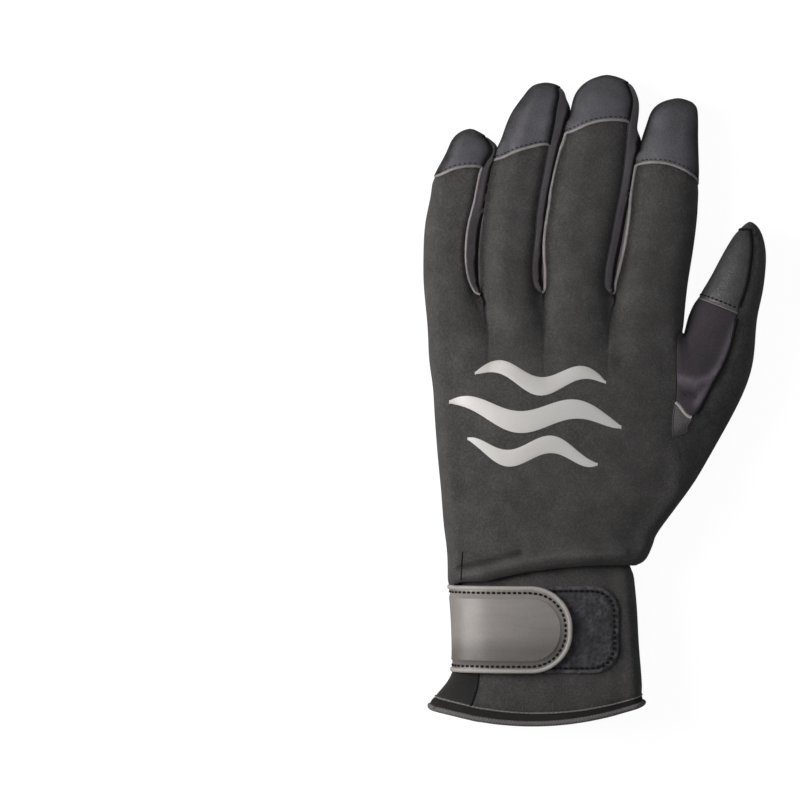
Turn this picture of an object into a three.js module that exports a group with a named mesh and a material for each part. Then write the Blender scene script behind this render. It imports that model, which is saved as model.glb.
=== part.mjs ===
// A left-hand diving glove, lying palm down.
// Millimetres. +Y runs to the fingertips, +X to the thumb, +Z up through the back of the hand.
// The origin is under the middle of the glove, on the surface that it lies on.
// One skin of quads is laid out from section tables, and each sewn panel is cut from it as a wall.

import * as THREE from 'three';

// Driving dimensions
const NEOPRENE = 2.0;
const LEATHER = 1.3;
const FABRIC = 1.2;
const SEAM_INSET = 0.22;
const HEM_RAISE = 0.4;
const HEM_TAPE = 2.6;
const HAND_CORNER_INSET = 2.5;
const FINGER_UNDERSIDE_INSET = 3.0;
const UNDERSIDE_INSET_SHARE = 0.175;
const SIDE_HEIGHT = 0.48;

const STRAP_TOP = -71.2;
const STRAP_BOTTOM = -104.6;
const STRAP_END = 0.65;
const STRAP_CORNER = 15.6;
const STRAP_THICKNESS = 1.6;
const STRAP_LIFT = 1.95;
const STRAP_RIM_WIDTH = 1.5;
const STRAP_RIM_THICKNESS = 2.3;
const LOOP_PATCH_START = 0.12;
const LOOP_PATCH_END = 0.905;
const LOOP_PATCH_CORNER = 10.0;
const LOOP_PATCH_THICKNESS = 1.1;
const LAY_GAP = 0.4;

const RING_X = -41.0;
const RING_BAR_Y = -119.4;
const RING_BAR_Z = 3.8;
const RING_WIRE_RADIUS = 1.0;
const RING_HALF_WIDTH = 8.6;
const RING_CORNER = 1.5;
const RING_DEPTH = 11.0;
const RING_BOW_Z = 1.05;
const TAB_WIDTH = 14.6;
const TAB_WEBBING = 1.1;
const TAB_CLEARANCE = 0.35;
const TAB_LENGTH = 8.5;

// A table is a list of rows with named columns
function table(columns, rows) {
  return rows.map((row) => Object.fromEntries(columns.map((name, i) => [name, row[i]])));
}

// Hand and cuff, from the hem to the roots of the fingers.
// bow moves the middle of a row along Y. dip lowers the top between the fingers. gore is where the
// wrist gusset's seam runs, measured from the left edge. The corner columns say how high the top stays
// at its edges, as a share of the half height, and liftRight how far the underside rises at the right.
const HAND = table(
  ['yLeft', 'yRight', 'bow', 'xLeft', 'xRight', 'top', 'bottom', 'dip', 'gore', 'cornerRight', 'liftRight'],
  [
    [-118.0, -117.0, -7.7, -63.5, 19.0, 29.0, 7.0, 0, 15.5, 0.45, 5.0],
    [-114.5, -113.5, -6.6, -61.5, 18.5, 28.5, 7.0, 0, 14.0, 0.45, 5.0],
    [-106.0, -106.0, -2.5, -56.5, 18.5, 27.8, 6.9, 0, 10.5, 0.45, 5.5],
    [-92.0, -92.0, 0, -54.5, 17.5, 26.8, 4.6, 0, 7.0, 0.45, 6.0],
    [-76.5, -76.5, 0, -54.5, 16.5, 26.2, 2.2, 0, 4.5, 0.45, 6.0],
    [-70.0, -65.0, 1.5, -54.5, 15.5, 26.0, 0.8, 0, 3.5, 0.45, 6.0],
    [-67.5, -62.5, 1.8, -55.5, 19.0, 29.8, 0, 0, 0, 0.5, 6.0],
    [-58.0, -57.0, 1.0, -56.5, 23.0, 30.0, 0, 0, 0, 0.5, 6.0],
    [-47.5, -51.5, 0, -58.0, 24.0, 29.5, 0, 0, 0, 0.5, 6.0],
    [-34.0, -43.0, 0, -59.0, 30.0, 30.5, 0, 0, 0, 0.55, 6.0],
    [-19.5, -33.0, 0, -60.5, 37.0, 31.5, 0, 0, 0, 0.62, 5.0],
    [-3.5, -18.5, 0, -61.5, 34.5, 31.5, 0, 0, 0, 0.72, 3.0],
    [6.5, -3.5, 0, -62.0, 33.5, 31.0, 0, 0, 0, 0.75, 2.2],
    [17.0, 11.0, 0, -63.5, 33.5, 30.0, 0, 0.8, 0, 0.72, 3.0],
    [28.5, 25.5, 0, -64.0, 34.5, 28.5, 0, 2.6, 0, 0.58, 6.0],
  ],
);
const CORNER_LEFT = 0.5;
const LIFT_LEFT = 6.0;
const TOP_SHAPE = 2.6;
const FLAT_SHARE = 0.72;
const HEM_ROW = 0;
const GUSSET_ROWS = { first: 1, last: 4 };
const FOLD_ROW = 5;
const PALM_EDGE_ROW = 11;
const THUMB_ROWS = { first: 10, last: 14 };

// Fingers, from the root to the tip ring. y is the ring's place on its left, right and underside, and
// bow bends it across the back. seam is the width of the gusset seen at the right of the back.
const FINGER_COLUMNS = ['yLeft', 'yRight', 'yUnder', 'bow', 'xLeft', 'xRight', 'seam', 'top', 'bottom'];
const FINGERS = {
  little: {
    rings: table(FINGER_COLUMNS, [
      [43.0, 42.5, 43.0, 0, -65.6, -43.5, 3.0, 24.0, 0],
      [54.0, 53.5, 54.0, 0, -65.8, -44.0, 5.2, 20.5, 0],
      [66.5, 66.0, 66.5, 0, -65.4, -43.4, 5.2, 19.0, 0],
      [75.0, 74.0, 75.0, 0, -64.0, -42.0, 4.6, 18.5, 0],
      [81.0, 82.0, 81.5, 0, -62.8, -41.2, 3.8, 18.5, 0],
      [85.7, 89.5, 88.0, 2.8, -61.6, -40.0, 3.0, 18.5, 0],
      [94.8, 95.0, 95.0, 0, -58.0, -39.3, 1.8, 17.5, 0.6],
      [100.3, 100.3, 100.3, 0, -55.2, -40.2, 1.6, 15.0, 2.0],
      [103.4, 103.2, 103.2, 0, -52.5, -43.0, 1.2, 12.0, 4.5],
    ]),
    tip: [-48.5, 105.0],
    cap: 5,
    insert: 2,
    pad: 3,
  },
  ring: {
    rings: table(FINGER_COLUMNS, [
      [45.0, 44.0, 44.5, 0, -42.5, -20.5, 3.0, 26.5, 0],
      [58.8, 57.8, 58.3, 0, -43.0, -20.0, 3.0, 22.5, 0],
      [72.2, 71.2, 71.8, 0, -41.2, -18.1, 3.8, 21.0, 0],
      [81.0, 82.0, 81.4, 0, -39.8, -16.4, 3.8, 20.5, 0],
      [92.6, 99.3, 91.4, 2.0, -37.5, -12.7, 4.6, 20.0, 0],
      [106.5, 107.5, 106.8, 0, -33.3, -10.6, 4.8, 19.0, 0],
      [113.2, 113.6, 113.4, 0, -30.0, -10.0, 4.6, 17.5, 0.6],
      [118.0, 118.0, 118.0, 0, -27.3, -10.7, 3.2, 15.0, 2.0],
      [121.2, 121.0, 121.0, 0, -23.8, -13.0, 1.6, 12.0, 4.5],
    ]),
    tip: [-18.5, 123.0],
    cap: 4,
    insert: 2,
    pad: 4,
  },
  middle: {
    rings: table(FINGER_COLUMNS, [
      [45.0, 44.0, 44.5, 0, -18.9, 6.6, 2.8, 27.5, 0],
      [59.0, 58.4, 58.7, 0, -18.9, 9.0, 3.0, 23.5, 0],
      [73.2, 72.8, 73.0, 0, -17.1, 11.9, 3.2, 22.0, 0],
      [81.4, 81.4, 81.4, 0, -16.0, 13.6, 3.1, 21.5, 0],
      [89.3, 90.0, 89.5, 0, -14.7, 14.9, 3.1, 21.0, 0],
      [95.8, 98.5, 97.0, 1.0, -12.7, 15.9, 3.1, 20.5, 0],
      [102.6, 106.8, 104.6, 3.3, -10.6, 17.0, 3.5, 20.5, 0],
      [113.5, 114.2, 113.8, 1.0, -8.3, 17.9, 3.0, 18.5, 0.4],
      [119.2, 119.4, 119.2, 0, -6.5, 16.5, 2.2, 16.0, 1.6],
      [123.2, 122.8, 123.0, 0, -2.8, 13.9, 1.5, 12.5, 4.5],
    ]),
    tip: [5.0, 125.4],
    cap: 6,
    insert: 2,
    pad: 4,
  },
  index: {
    rings: table(FINGER_COLUMNS, [
      [43.8, 41.0, 43.0, 0, 7.9, 36.0, 3.0, 26.5, 0],
      [57.5, 55.5, 56.8, 0, 11.2, 37.9, 3.0, 22.5, 0],
      [70.8, 69.0, 70.3, 0, 13.6, 39.5, 3.0, 21.0, 0],
      [77.0, 75.0, 76.4, 0, 14.4, 40.0, 3.0, 20.5, 0],
      [91.4, 84.9, 82.6, 3.6, 16.7, 40.5, 3.0, 20.0, 0],
      [99.2, 98.2, 98.8, 0, 18.1, 40.6, 2.8, 19.5, 0],
      [106.8, 106.0, 106.5, 0, 20.0, 40.4, 2.6, 18.0, 0.6],
      [112.2, 111.4, 111.9, 0, 21.8, 39.8, 2.2, 15.5, 2.0],
      [115.2, 114.0, 114.6, 0, 25.5, 38.4, 1.6, 12.0, 4.5],
    ]),
    tip: [32.6, 116.9],
    cap: 4,
    insert: 2,
    pad: 4,
  },
};
const FINGER_NAMES = ['little', 'ring', 'middle', 'index'];
const LEFT_SEAM = 1.4;
const OUTER_SEAM = 3.0;

// Thumb, from the root to the tip ring. Each ring runs from the crotch side to the outer side, and seam
// is the share of its width where the inner panels meet the back.
const THUMB = table(
  ['xInner', 'yInner', 'xOuter', 'yOuter', 'seam', 'top', 'bottom'],
  [
    [35.0, 26.4, 41.2, -26.4, 0.56, 28.0, 0.4],
    [35.3, 27.2, 49.5, -12.5, 0.57, 27.0, 0.6],
    [36.0, 29.2, 56.8, 3.3, 0.6, 25.5, 0.8],
    [37.2, 33.3, 61.4, 16.7, 0.62, 24.5, 0.8],
    [40.2, 39.8, 62.8, 30.6, 0.65, 23.5, 0.8],
    [43.3, 46.8, 64.5, 40.6, 0.68, 22.8, 0.8],
    [46.8, 53.3, 65.8, 50.6, 0.68, 21.5, 1.4],
    [51.0, 61.0, 65.6, 58.3, 0.62, 19.0, 3.0],
    [54.8, 65.6, 63.4, 64.7, 0.5, 15.5, 6.0],
  ],
);
const THUMB_TIP = [59.5, 68.2];
const THUMB_INSET = 2.0;
const THUMB_PAD_RING = 5;

// Colours and finishes, as seen on the object
const FINISH = {
  neoprene: { color: 0x464547, roughness: 0.85 },
  cap: { color: 0x54545c, roughness: 0.6 },
  gusset: { color: 0x4b464e, roughness: 0.9 },
  palm: { color: 0x787673, roughness: 0.5 },
  pad: { color: 0x5a5c5c, roughness: 0.5 },
  strap: { color: 0x827f7a, roughness: 0.45 },
  rim: { color: 0xa09d98, roughness: 0.6 },
  loop: { color: 0x3c3e44, roughness: 0.95 },
  tape: { color: 0x2b2b2c, roughness: 0.8 },
  ring: { color: 0x18181a, roughness: 0.35 },
};
const glove = new THREE.Group();

function addMesh(name, geometry, finish) {
  const material = new THREE.MeshStandardMaterial({ metalness: 0, ...FINISH[finish] });
  const mesh = new THREE.Mesh(geometry, material);
  mesh.name = name;
  glove.add(mesh);
  return mesh;
}

// Points round a finger or the thumb: five across the top, one at the outer side, five back along the
// underside, and one at the inner side
const ACROSS_FINGER = [0, 0.25, 0.5, 0.75, 1];
const OUTER_POINT = 5;
const UNDER_POINTS = [10, 9, 8, 7, 6];
const INNER_POINT = 11;

// The skin: shared points, and quads that name the panel they belong to
const skin = { points: [], quads: [] };

function addPoint(x, y, z) {
  skin.points.push(new THREE.Vector3(x, y, z));
  return skin.points.length - 1;
}

function addQuad(corners, panel) {
  skin.quads.push({ corners, panel });
}

function mix(a, b, t) {
  return a + (b - a) * t;
}

// Hand sections. across is 0 at the left edge of a row and 1 at the right
function handY(row, across) {
  return mix(row.yLeft, row.yRight, across) + row.bow * (1 - (2 * across - 1) ** 2);
}

function handTop(row, across) {
  const half = (row.top - row.bottom) / 2;
  const corner = across < 0.5 ? CORNER_LEFT : row.cornerRight;
  return row.bottom + half * (2 - (1 - corner) * Math.abs(2 * across - 1) ** TOP_SHAPE);
}

function handBottom(row, across) {
  const out = Math.abs(2 * across - 1);
  const lift = across < 0.5 ? LIFT_LEFT : row.liftRight;
  return out < FLAT_SHARE ? row.bottom : row.bottom + lift * ((out - FLAT_SHARE) / (1 - FLAT_SHARE)) ** 2;
}

// The columns across the back follow the roots of the fingers
const rootColumns = FINGER_NAMES.flatMap((name) => {
  const root = FINGERS[name].rings[0];
  return ACROSS_FINGER.map((t) => mix(root.xLeft, root.xRight, t));
});
const LAST_COLUMN = rootColumns.length - 1;

function columnShares(row) {
  const width = row.xRight - row.xLeft;
  const first = HAND_CORNER_INSET / width;
  const last = 1 - first;
  const span = rootColumns[LAST_COLUMN] - rootColumns[0];
  return rootColumns.map((x, j) => {
    const even = (x - rootColumns[0]) / span;
    if (row.gore === 0 || j === 0) {
      return mix(first, last, even);
    }
    const seam = row.gore / width;
    const evenAtSeam = (rootColumns[1] - rootColumns[0]) / span;
    return mix(seam, last, (even - evenAtSeam) / (1 - evenAtSeam));
  });
}

// The back dips between the fingers: fully at the crotch columns, and less at the columns beside them
const DIP_BESIDE = 0.35;

function dipAt(column) {
  const place = column % ACROSS_FINGER.length;
  const atCrotch = (place === 4 && column < LAST_COLUMN) || (place === 0 && column > 0);
  const beside = (place === 3 && column < LAST_COLUMN - 1) || (place === 1 && column > 1);
  if (atCrotch) {
    return 1;
  }
  return beside ? DIP_BESIDE : 0;
}

function handRing(row) {
  const shares = columnShares(row);
  const x = (across) => mix(row.xLeft, row.xRight, across);
  const top = shares.map((w, j) => addPoint(x(w), handY(row, w), handTop(row, w) - row.dip * dipAt(j)));
  const right = addPoint(row.xRight, handY(row, 1), mix(row.bottom, row.top, SIDE_HEIGHT));
  const bottom = shares.map((w) => addPoint(x(w), handY(row, w), handBottom(row, w)));
  const left = addPoint(row.xLeft, handY(row, 0), mix(row.bottom, row.top, SIDE_HEIGHT));
  return { top, right, bottom, left };
}

// Tube sections. from and to are the ring's silhouette points on its inner and outer side, and under
// moves its underside along Y where a seam there runs elsewhere than on the back.
const TOP_ROUND = 2.4;
const BOTTOM_ROUND = 3.4;

function tubeRing({ from, to, under, bow, insets, seamShare, top, bottom }) {
  const centreZ = mix(bottom, top, SIDE_HEIGHT);
  const width = Math.hypot(to[0] - from[0], to[1] - from[1]);
  const heightAt = (t, reach, power) => reach * (1 - Math.abs(2 * t - 1) ** power) ** (1 / power);
  const start = insets[0] / width;
  const end = 1 - insets[1] / width;
  const middle = seamShare ?? (start + end) / 2;
  const shares = [start, (start + middle) / 2, middle, (middle + end) / 2, end];
  const place = (t, shift) => [mix(from[0], to[0], t), mix(from[1], to[1], t) + shift];
  const topPoints = shares.map((t) => {
    const [x, y] = place(t, bow * (1 - (2 * t - 1) ** 2));
    return addPoint(x, y, centreZ + heightAt(t, top - centreZ, TOP_ROUND));
  });
  const inset = Math.min(FINGER_UNDERSIDE_INSET, width * UNDERSIDE_INSET_SHARE) / width;
  const underShares = ACROSS_FINGER.map((t) => mix(1 - inset, inset, t));
  const underPoints = underShares.map((t) => {
    const [x, y] = place(t, 0);
    const underY = under === null ? y : under;
    return addPoint(x, underY, centreZ - heightAt(t, centreZ - bottom, BOTTOM_ROUND));
  });
  const sideY = (edge) => (under === null ? edge[1] : (edge[1] + under) / 2);
  const outer = addPoint(to[0], sideY(to), centreZ);
  const inner = addPoint(from[0], sideY(from), centreZ);
  return [...topPoints, outer, ...underPoints, inner];
}

function fingerRing(name, ring) {
  return tubeRing({
    from: [ring.xLeft, ring.yLeft],
    to: [ring.xRight, ring.yRight],
    under: ring.yUnder,
    bow: ring.bow,
    insets: [name === 'little' ? Math.min(OUTER_SEAM, ring.seam + 1) : LEFT_SEAM, ring.seam],
    top: ring.top,
    bottom: ring.bottom,
  });
}

function thumbRing(ring) {
  return tubeRing({
    from: [ring.xInner, ring.yInner],
    to: [ring.xOuter, ring.yOuter],
    under: null,
    bow: 0,
    insets: [THUMB_INSET, THUMB_INSET],
    seamShare: ring.seam,
    top: ring.top,
    bottom: ring.bottom,
  });
}

// A tube's quads between two rings, and the rounded end that closes its last ring
function addTubeBand(near, far, panelOf) {
  near.forEach((point, k) => {
    const next = (k + 1) % near.length;
    addQuad([point, near[next], far[next], far[k]], panelOf(k));
  });
}

function addTubeTip(ring, tip, panelOf) {
  const upper = ring.slice(0, 5);
  const lower = UNDER_POINTS.map((k) => ring[k]);
  const ends = [skin.points[ring[INNER_POINT]], skin.points[ring[OUTER_POINT]]];
  const middle = [0.25, 0.5, 0.75].map((t) => {
    const bulge = 1 - (2 * t - 1) ** 2;
    const x = mix(mix(ends[0].x, ends[1].x, t), tip[0], bulge * 0.5);
    const y = mix(mix(ends[0].y, ends[1].y, t), tip[1], 0.4 + 0.6 * bulge);
    return addPoint(x, y, mix(ends[0].z, ends[1].z, t));
  });
  const centre = [ring[INNER_POINT], ...middle, ring[OUTER_POINT]];
  for (let j = 0; j < 4; j += 1) {
    addQuad([upper[j], upper[j + 1], centre[j + 1], centre[j]], panelOf('upper'));
    addQuad([centre[j], centre[j + 1], lower[j + 1], lower[j]], panelOf('lower'));
  }
}

// The gussets that run along each finger's two sides
const GUSSET_RIGHT = {
  little: 'gusset_little_ring',
  ring: 'gusset_ring_middle',
  middle: 'gusset_middle_index',
};
const GUSSET_LEFT = {
  ring: 'gusset_little_ring',
  middle: 'gusset_ring_middle',
  index: 'gusset_middle_index',
};

function fingerPanel(name, band, k) {
  const finger = FINGERS[name];
  const back = band >= finger.cap ? `tip_cap_${name}` : 'back_panel';
  if (k < OUTER_POINT - 1) {
    return back;
  }
  if (k <= OUTER_POINT) {
    return GUSSET_RIGHT[name] ?? back;
  }
  if (k >= INNER_POINT - 1) {
    return GUSSET_LEFT[name] ?? back;
  }
  if (band >= finger.pad) {
    return `tip_pad_${name}`;
  }
  return band >= finger.insert ? `finger_insert_${name}` : 'palm_panel';
}

const THUMB_TOP_SEAM = 2;
const THUMB_UNDER_SEAM = 8;

function thumbPanel(band, k) {
  if (k >= THUMB_TOP_SEAM && k < THUMB_UNDER_SEAM) {
    return band === 0 && k === THUMB_TOP_SEAM ? 'thumb_base_patch' : 'back_panel';
  }
  return band >= THUMB_PAD_RING ? 'thumb_tip_pad' : 'thumb_insert';
}

function handPanel(band, side, column) {
  if (band === HEM_ROW) {
    return 'hem_binding';
  }
  const cuff = band < FOLD_ROW;
  const gusset = band >= GUSSET_ROWS.first && band <= GUSSET_ROWS.last;
  if (gusset && (side === 'left' || column === 0)) {
    return 'wrist_gusset';
  }
  if (side === 'bottom') {
    return band >= PALM_EDGE_ROW ? 'palm_panel' : 'cuff_underside';
  }
  return cuff ? 'cuff_back' : 'back_panel';
}

function addHandBand(near, far, band) {
  for (let j = 0; j < LAST_COLUMN; j += 1) {
    addQuad([near.top[j], near.top[j + 1], far.top[j + 1], far.top[j]], handPanel(band, 'top', j));
    const low = [near.bottom[j + 1], near.bottom[j], far.bottom[j], far.bottom[j + 1]];
    addQuad(low, handPanel(band, 'bottom', j));
  }
  const last = LAST_COLUMN;
  const atThumb = band >= THUMB_ROWS.first && band < THUMB_ROWS.last;
  if (!atThumb) {
    addQuad([near.top[last], near.right, far.right, far.top[last]], handPanel(band, 'right'));
    addQuad([near.right, near.bottom[last], far.bottom[last], far.right], handPanel(band, 'right'));
  }
  addQuad([near.bottom[0], near.left, far.left, far.bottom[0]], handPanel(band, 'left'));
  addQuad([near.left, near.top[0], far.top[0], far.left], handPanel(band, 'left'));
}

// Build the skin: the fingers' root rings close the hand's last row
const handRings = HAND.map(handRing);
const fingerRings = FINGER_NAMES.map((name) => FINGERS[name].rings.map((ring) => fingerRing(name, ring)));
const rootRings = fingerRings.map((rings) => rings[0]);
handRings.push({
  top: rootRings.flatMap((ring) => ring.slice(0, 5)),
  right: rootRings[3][OUTER_POINT],
  bottom: rootRings.flatMap((ring) => UNDER_POINTS.map((k) => ring[k])),
  left: rootRings[0][INNER_POINT],
});
for (let band = 0; band < handRings.length - 1; band += 1) {
  addHandBand(handRings[band], handRings[band + 1], band);
}

FINGER_NAMES.forEach((name, f) => {
  const rings = fingerRings[f];
  for (let band = 0; band < rings.length - 1; band += 1) {
    addTubeBand(rings[band], rings[band + 1], (k) => fingerPanel(name, band, k));
  }
  addTubeTip(rings[rings.length - 1], FINGERS[name].tip, (part) =>
    part === 'upper' ? `tip_cap_${name}` : `tip_pad_${name}`,
  );
});

// The crotch between two fingers is two quads of the gusset that joins them
for (let f = 0; f < 3; f += 1) {
  const [a, b] = [rootRings[f], rootRings[f + 1]];
  const panel = GUSSET_RIGHT[FINGER_NAMES[f]];
  addQuad([a[OUTER_POINT - 1], b[0], b[INNER_POINT], a[OUTER_POINT]], panel);
  addQuad([a[OUTER_POINT], b[INNER_POINT], b[INNER_POINT - 1], a[OUTER_POINT + 1]], panel);
}

const thumbRows = handRings.slice(THUMB_ROWS.first, THUMB_ROWS.last + 1).reverse();
const thumbRoot = [
  ...thumbRows.map((row) => row.top[LAST_COLUMN]),
  thumbRows[4].right,
  ...thumbRows.map((row) => row.bottom[LAST_COLUMN]).reverse(),
  thumbRows[0].right,
];
const thumbRings = [thumbRoot, ...THUMB.map(thumbRing)];
for (let band = 0; band < thumbRings.length - 1; band += 1) {
  addTubeBand(thumbRings[band], thumbRings[band + 1], (k) => thumbPanel(band, k));
}
addTubeTip(thumbRings[thumbRings.length - 1], THUMB_TIP, () => 'thumb_tip_pad');

// Outward direction at each point of the skin
function skinNormals() {
  const normals = skin.points.map(() => new THREE.Vector3());
  skin.quads.forEach(({ corners }) => {
    const [a, b, c, d] = corners.map((i) => skin.points[i]);
    const cross = c.clone().sub(a).cross(d.clone().sub(b));
    corners.forEach((i) => normals[i].add(cross));
  });
  return normals.map((n) => n.normalize());
}
const normals = skinNormals();

// A panel as a closed wall: its outer face, its inner face a thickness below, and a rim between them.
// Its border is drawn in, so that a narrow seam gap is left to the next panel.
function panelGeometry(panel, thickness, raise) {
  const quads = skin.quads.filter((quad) => quad.panel === panel);
  const edges = new Map();
  quads.forEach(({ corners }) => {
    corners.forEach((a, k) => {
      const b = corners[(k + 1) % 4];
      const twin = `${b}:${a}`;
      if (edges.has(twin)) {
        edges.delete(twin);
      } else {
        edges.set(`${a}:${b}`, [a, b]);
      }
    });
  });
  const border = new Set([...edges.values()].flat());
  const inward = new Map([...border].map((i) => [i, new THREE.Vector3()]));
  quads.forEach(({ corners }) => {
    const centre = new THREE.Vector3();
    corners.forEach((i) => centre.addScaledVector(skin.points[i], 0.25));
    corners.filter((i) => border.has(i)).forEach((i) => {
      inward.get(i).add(centre.clone().sub(skin.points[i]).normalize());
    });
  });
  const slot = new Map();
  const positions = [];
  quads.flatMap(({ corners }) => corners).forEach((i) => {
    if (slot.has(i)) {
      return;
    }
    slot.set(i, positions.length / 6);
    const shift = inward.get(i)?.clone().normalize().multiplyScalar(SEAM_INSET) ?? new THREE.Vector3();
    const outer = skin.points[i].clone().add(shift).addScaledVector(normals[i], raise);
    const inner = outer.clone().addScaledVector(normals[i], -thickness);
    positions.push(...outer.toArray(), ...inner.toArray());
  });
  const outerOf = (i) => slot.get(i) * 2;
  const innerOf = (i) => slot.get(i) * 2 + 1;
  const index = [];
  quads.forEach(({ corners }) => {
    const [a, b, c, d] = corners;
    const o = corners.map(outerOf);
    const n = corners.map(innerOf);
    const first = Math.min(a, c) < Math.min(b, d) ? 0 : 1;
    const [p, q, r, s] = [0, 1, 2, 3].map((k) => (k + first) % 4);
    index.push(o[p], o[q], o[r], o[p], o[r], o[s]);
    index.push(n[p], n[r], n[q], n[p], n[s], n[r]);
  });
  edges.forEach(([a, b]) => {
    const [oa, ob, na, nb] = [outerOf(a), outerOf(b), innerOf(a), innerOf(b)];
    if (a < b) {
      index.push(oa, na, nb, oa, nb, ob);
    } else {
      index.push(ob, oa, nb, oa, na, nb);
    }
  });
  const geometry = new THREE.BufferGeometry();
  geometry.setAttribute('position', new THREE.Float32BufferAttribute(positions, 3));
  geometry.setIndex(index);
  return geometry;
}

function addPanel(name, thickness, finish, raise = 0) {
  addMesh(name, panelGeometry(name, thickness, raise), finish);
}

addPanel('back_panel', NEOPRENE, 'neoprene');
addPanel('cuff_back', NEOPRENE, 'neoprene');
addPanel('wrist_gusset', FABRIC, 'gusset');
addPanel('cuff_underside', FABRIC, 'gusset');
addPanel('palm_panel', LEATHER, 'palm');
addPanel('hem_binding', HEM_TAPE + HEM_RAISE, 'tape', HEM_RAISE);
addPanel('thumb_insert', FABRIC, 'gusset');
addPanel('thumb_tip_pad', LEATHER, 'pad');
addPanel('thumb_base_patch', LEATHER, 'palm');
FINGER_NAMES.forEach((name) => {
  addPanel(`tip_cap_${name}`, LEATHER, 'cap');
  addPanel(`tip_pad_${name}`, LEATHER, 'pad');
  addPanel(`finger_insert_${name}`, FABRIC, 'gusset');
});
Object.values(GUSSET_RIGHT).forEach((name) => addPanel(name, FABRIC, 'gusset'));

// The back of the cuff as a smooth surface: across is 0 at its left edge, and y runs along the arm
function cuffPoint(across, y, lift) {
  const rows = HAND.slice(0, FOLD_ROW + 1);
  const at = rows.findIndex((row, i) => i > 0 && y <= handY(row, Math.max(across, 0)));
  const upper = rows[at < 1 ? FOLD_ROW : at];
  const lower = rows[at < 1 ? FOLD_ROW - 1 : at - 1];
  const edge = Math.max(across, 0);
  const t = (y - handY(lower, edge)) / (handY(upper, edge) - handY(lower, edge));
  const xLeft = mix(lower.xLeft, upper.xLeft, t);
  const width = mix(lower.xRight, upper.xRight, t) - xLeft;
  const corner = HAND_CORNER_INSET / width;
  const topZ = (w) => mix(handTop(lower, w), handTop(upper, w), t);
  const sideZ = mix(mix(lower.bottom, lower.top, SIDE_HEIGHT), mix(upper.bottom, upper.top, SIDE_HEIGHT), t);
  const section = (w) => {
    const share = w / corner;
    return w >= corner ? [xLeft + w * width, topZ(w)] : [xLeft + w * width, mix(sideZ, topZ(corner), share)];
  };
  const step = 0.5 / width;
  const [x0, z0] = section(Math.max(across - step, 0));
  const [x1, z1] = section(across + step);
  const length = Math.hypot(x1 - x0, z1 - z0);
  const [x, z] = section(across);
  return new THREE.Vector3(x - ((z1 - z0) / length) * lift, y, z + ((x1 - x0) / length) * lift);
}

// A sheet laid on the cuff, as a closed slab: columns across, rows along y
function slabGeometry(columns, under, over) {
  const rows = columns[0].ys.length;
  const positions = [];
  columns.forEach(({ across, ys, liftShare }) => {
    ys.forEach((y) => {
      positions.push(...cuffPoint(across, y, under * liftShare + LAY_GAP).toArray());
      positions.push(...cuffPoint(across, y, under * liftShare + LAY_GAP + over).toArray());
    });
  });
  const at = (c, r, side) => (c * rows + r) * 2 + side;
  const index = [];
  const quad = (a, b, c, d) => index.push(a, b, c, a, c, d);
  for (let c = 0; c < columns.length - 1; c += 1) {
    for (let r = 0; r < rows - 1; r += 1) {
      quad(at(c, r, 1), at(c + 1, r, 1), at(c + 1, r + 1, 1), at(c, r + 1, 1));
      quad(at(c, r, 0), at(c, r + 1, 0), at(c + 1, r + 1, 0), at(c + 1, r, 0));
    }
    quad(at(c, 0, 0), at(c + 1, 0, 0), at(c + 1, 0, 1), at(c, 0, 1));
    quad(at(c, rows - 1, 1), at(c + 1, rows - 1, 1), at(c + 1, rows - 1, 0), at(c, rows - 1, 0));
  }
  const lastColumn = columns.length - 1;
  for (let r = 0; r < rows - 1; r += 1) {
    quad(at(0, r, 1), at(0, r + 1, 1), at(0, r + 1, 0), at(0, r, 0));
    quad(at(lastColumn, r, 0), at(lastColumn, r + 1, 0), at(lastColumn, r + 1, 1), at(lastColumn, r, 1));
  }
  const geometry = new THREE.BufferGeometry();
  geometry.setAttribute('position', new THREE.Float32BufferAttribute(positions, 3));
  geometry.setIndex(index);
  return geometry;
}

const CUFF_WIDTH = 71.5;

// How far a rounded end has drawn in at a place across the cuff
function endInset(across, end, radius) {
  const into = (across - end) * CUFF_WIDTH + radius;
  return into <= 0 ? 0 : radius - Math.sqrt(Math.max(radius ** 2 - into ** 2, 0));
}

// Places across the cuff, even up to the rounded end and by angle round it
function endColumns(start, end, radius, straightSteps) {
  const arcStart = end - radius / CUFF_WIDTH;
  const straight = [...Array(straightSteps + 1).keys()].map((i) => mix(start, arcStart, i / straightSteps));
  const angles = [0.2, 0.4, 0.6, 0.8, 0.95].map((t) => (t * Math.PI) / 2);
  return [...straight, ...angles.map((angle) => arcStart + (Math.sin(angle) * radius) / CUFF_WIDTH)];
}

function bandRows(top, bottom, count) {
  return [...Array(count + 1).keys()].map((i) => mix(bottom, top, i / count));
}

const STRAP_ROOT_LIFT = 0.05;
const strapLift = (across) => Math.min(1, Math.max(STRAP_ROOT_LIFT, across / LOOP_PATCH_START));

function loopPatch() {
  const columns = endColumns(LOOP_PATCH_START, LOOP_PATCH_END, LOOP_PATCH_CORNER, 14).map((across) => {
    const inset = endInset(across, LOOP_PATCH_END, LOOP_PATCH_CORNER);
    return { across, ys: bandRows(STRAP_TOP - inset, STRAP_BOTTOM + inset, 6), liftShare: 0 };
  });
  addMesh('loop_patch', slabGeometry(columns, 0, LOOP_PATCH_THICKNESS), 'loop');
}

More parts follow.
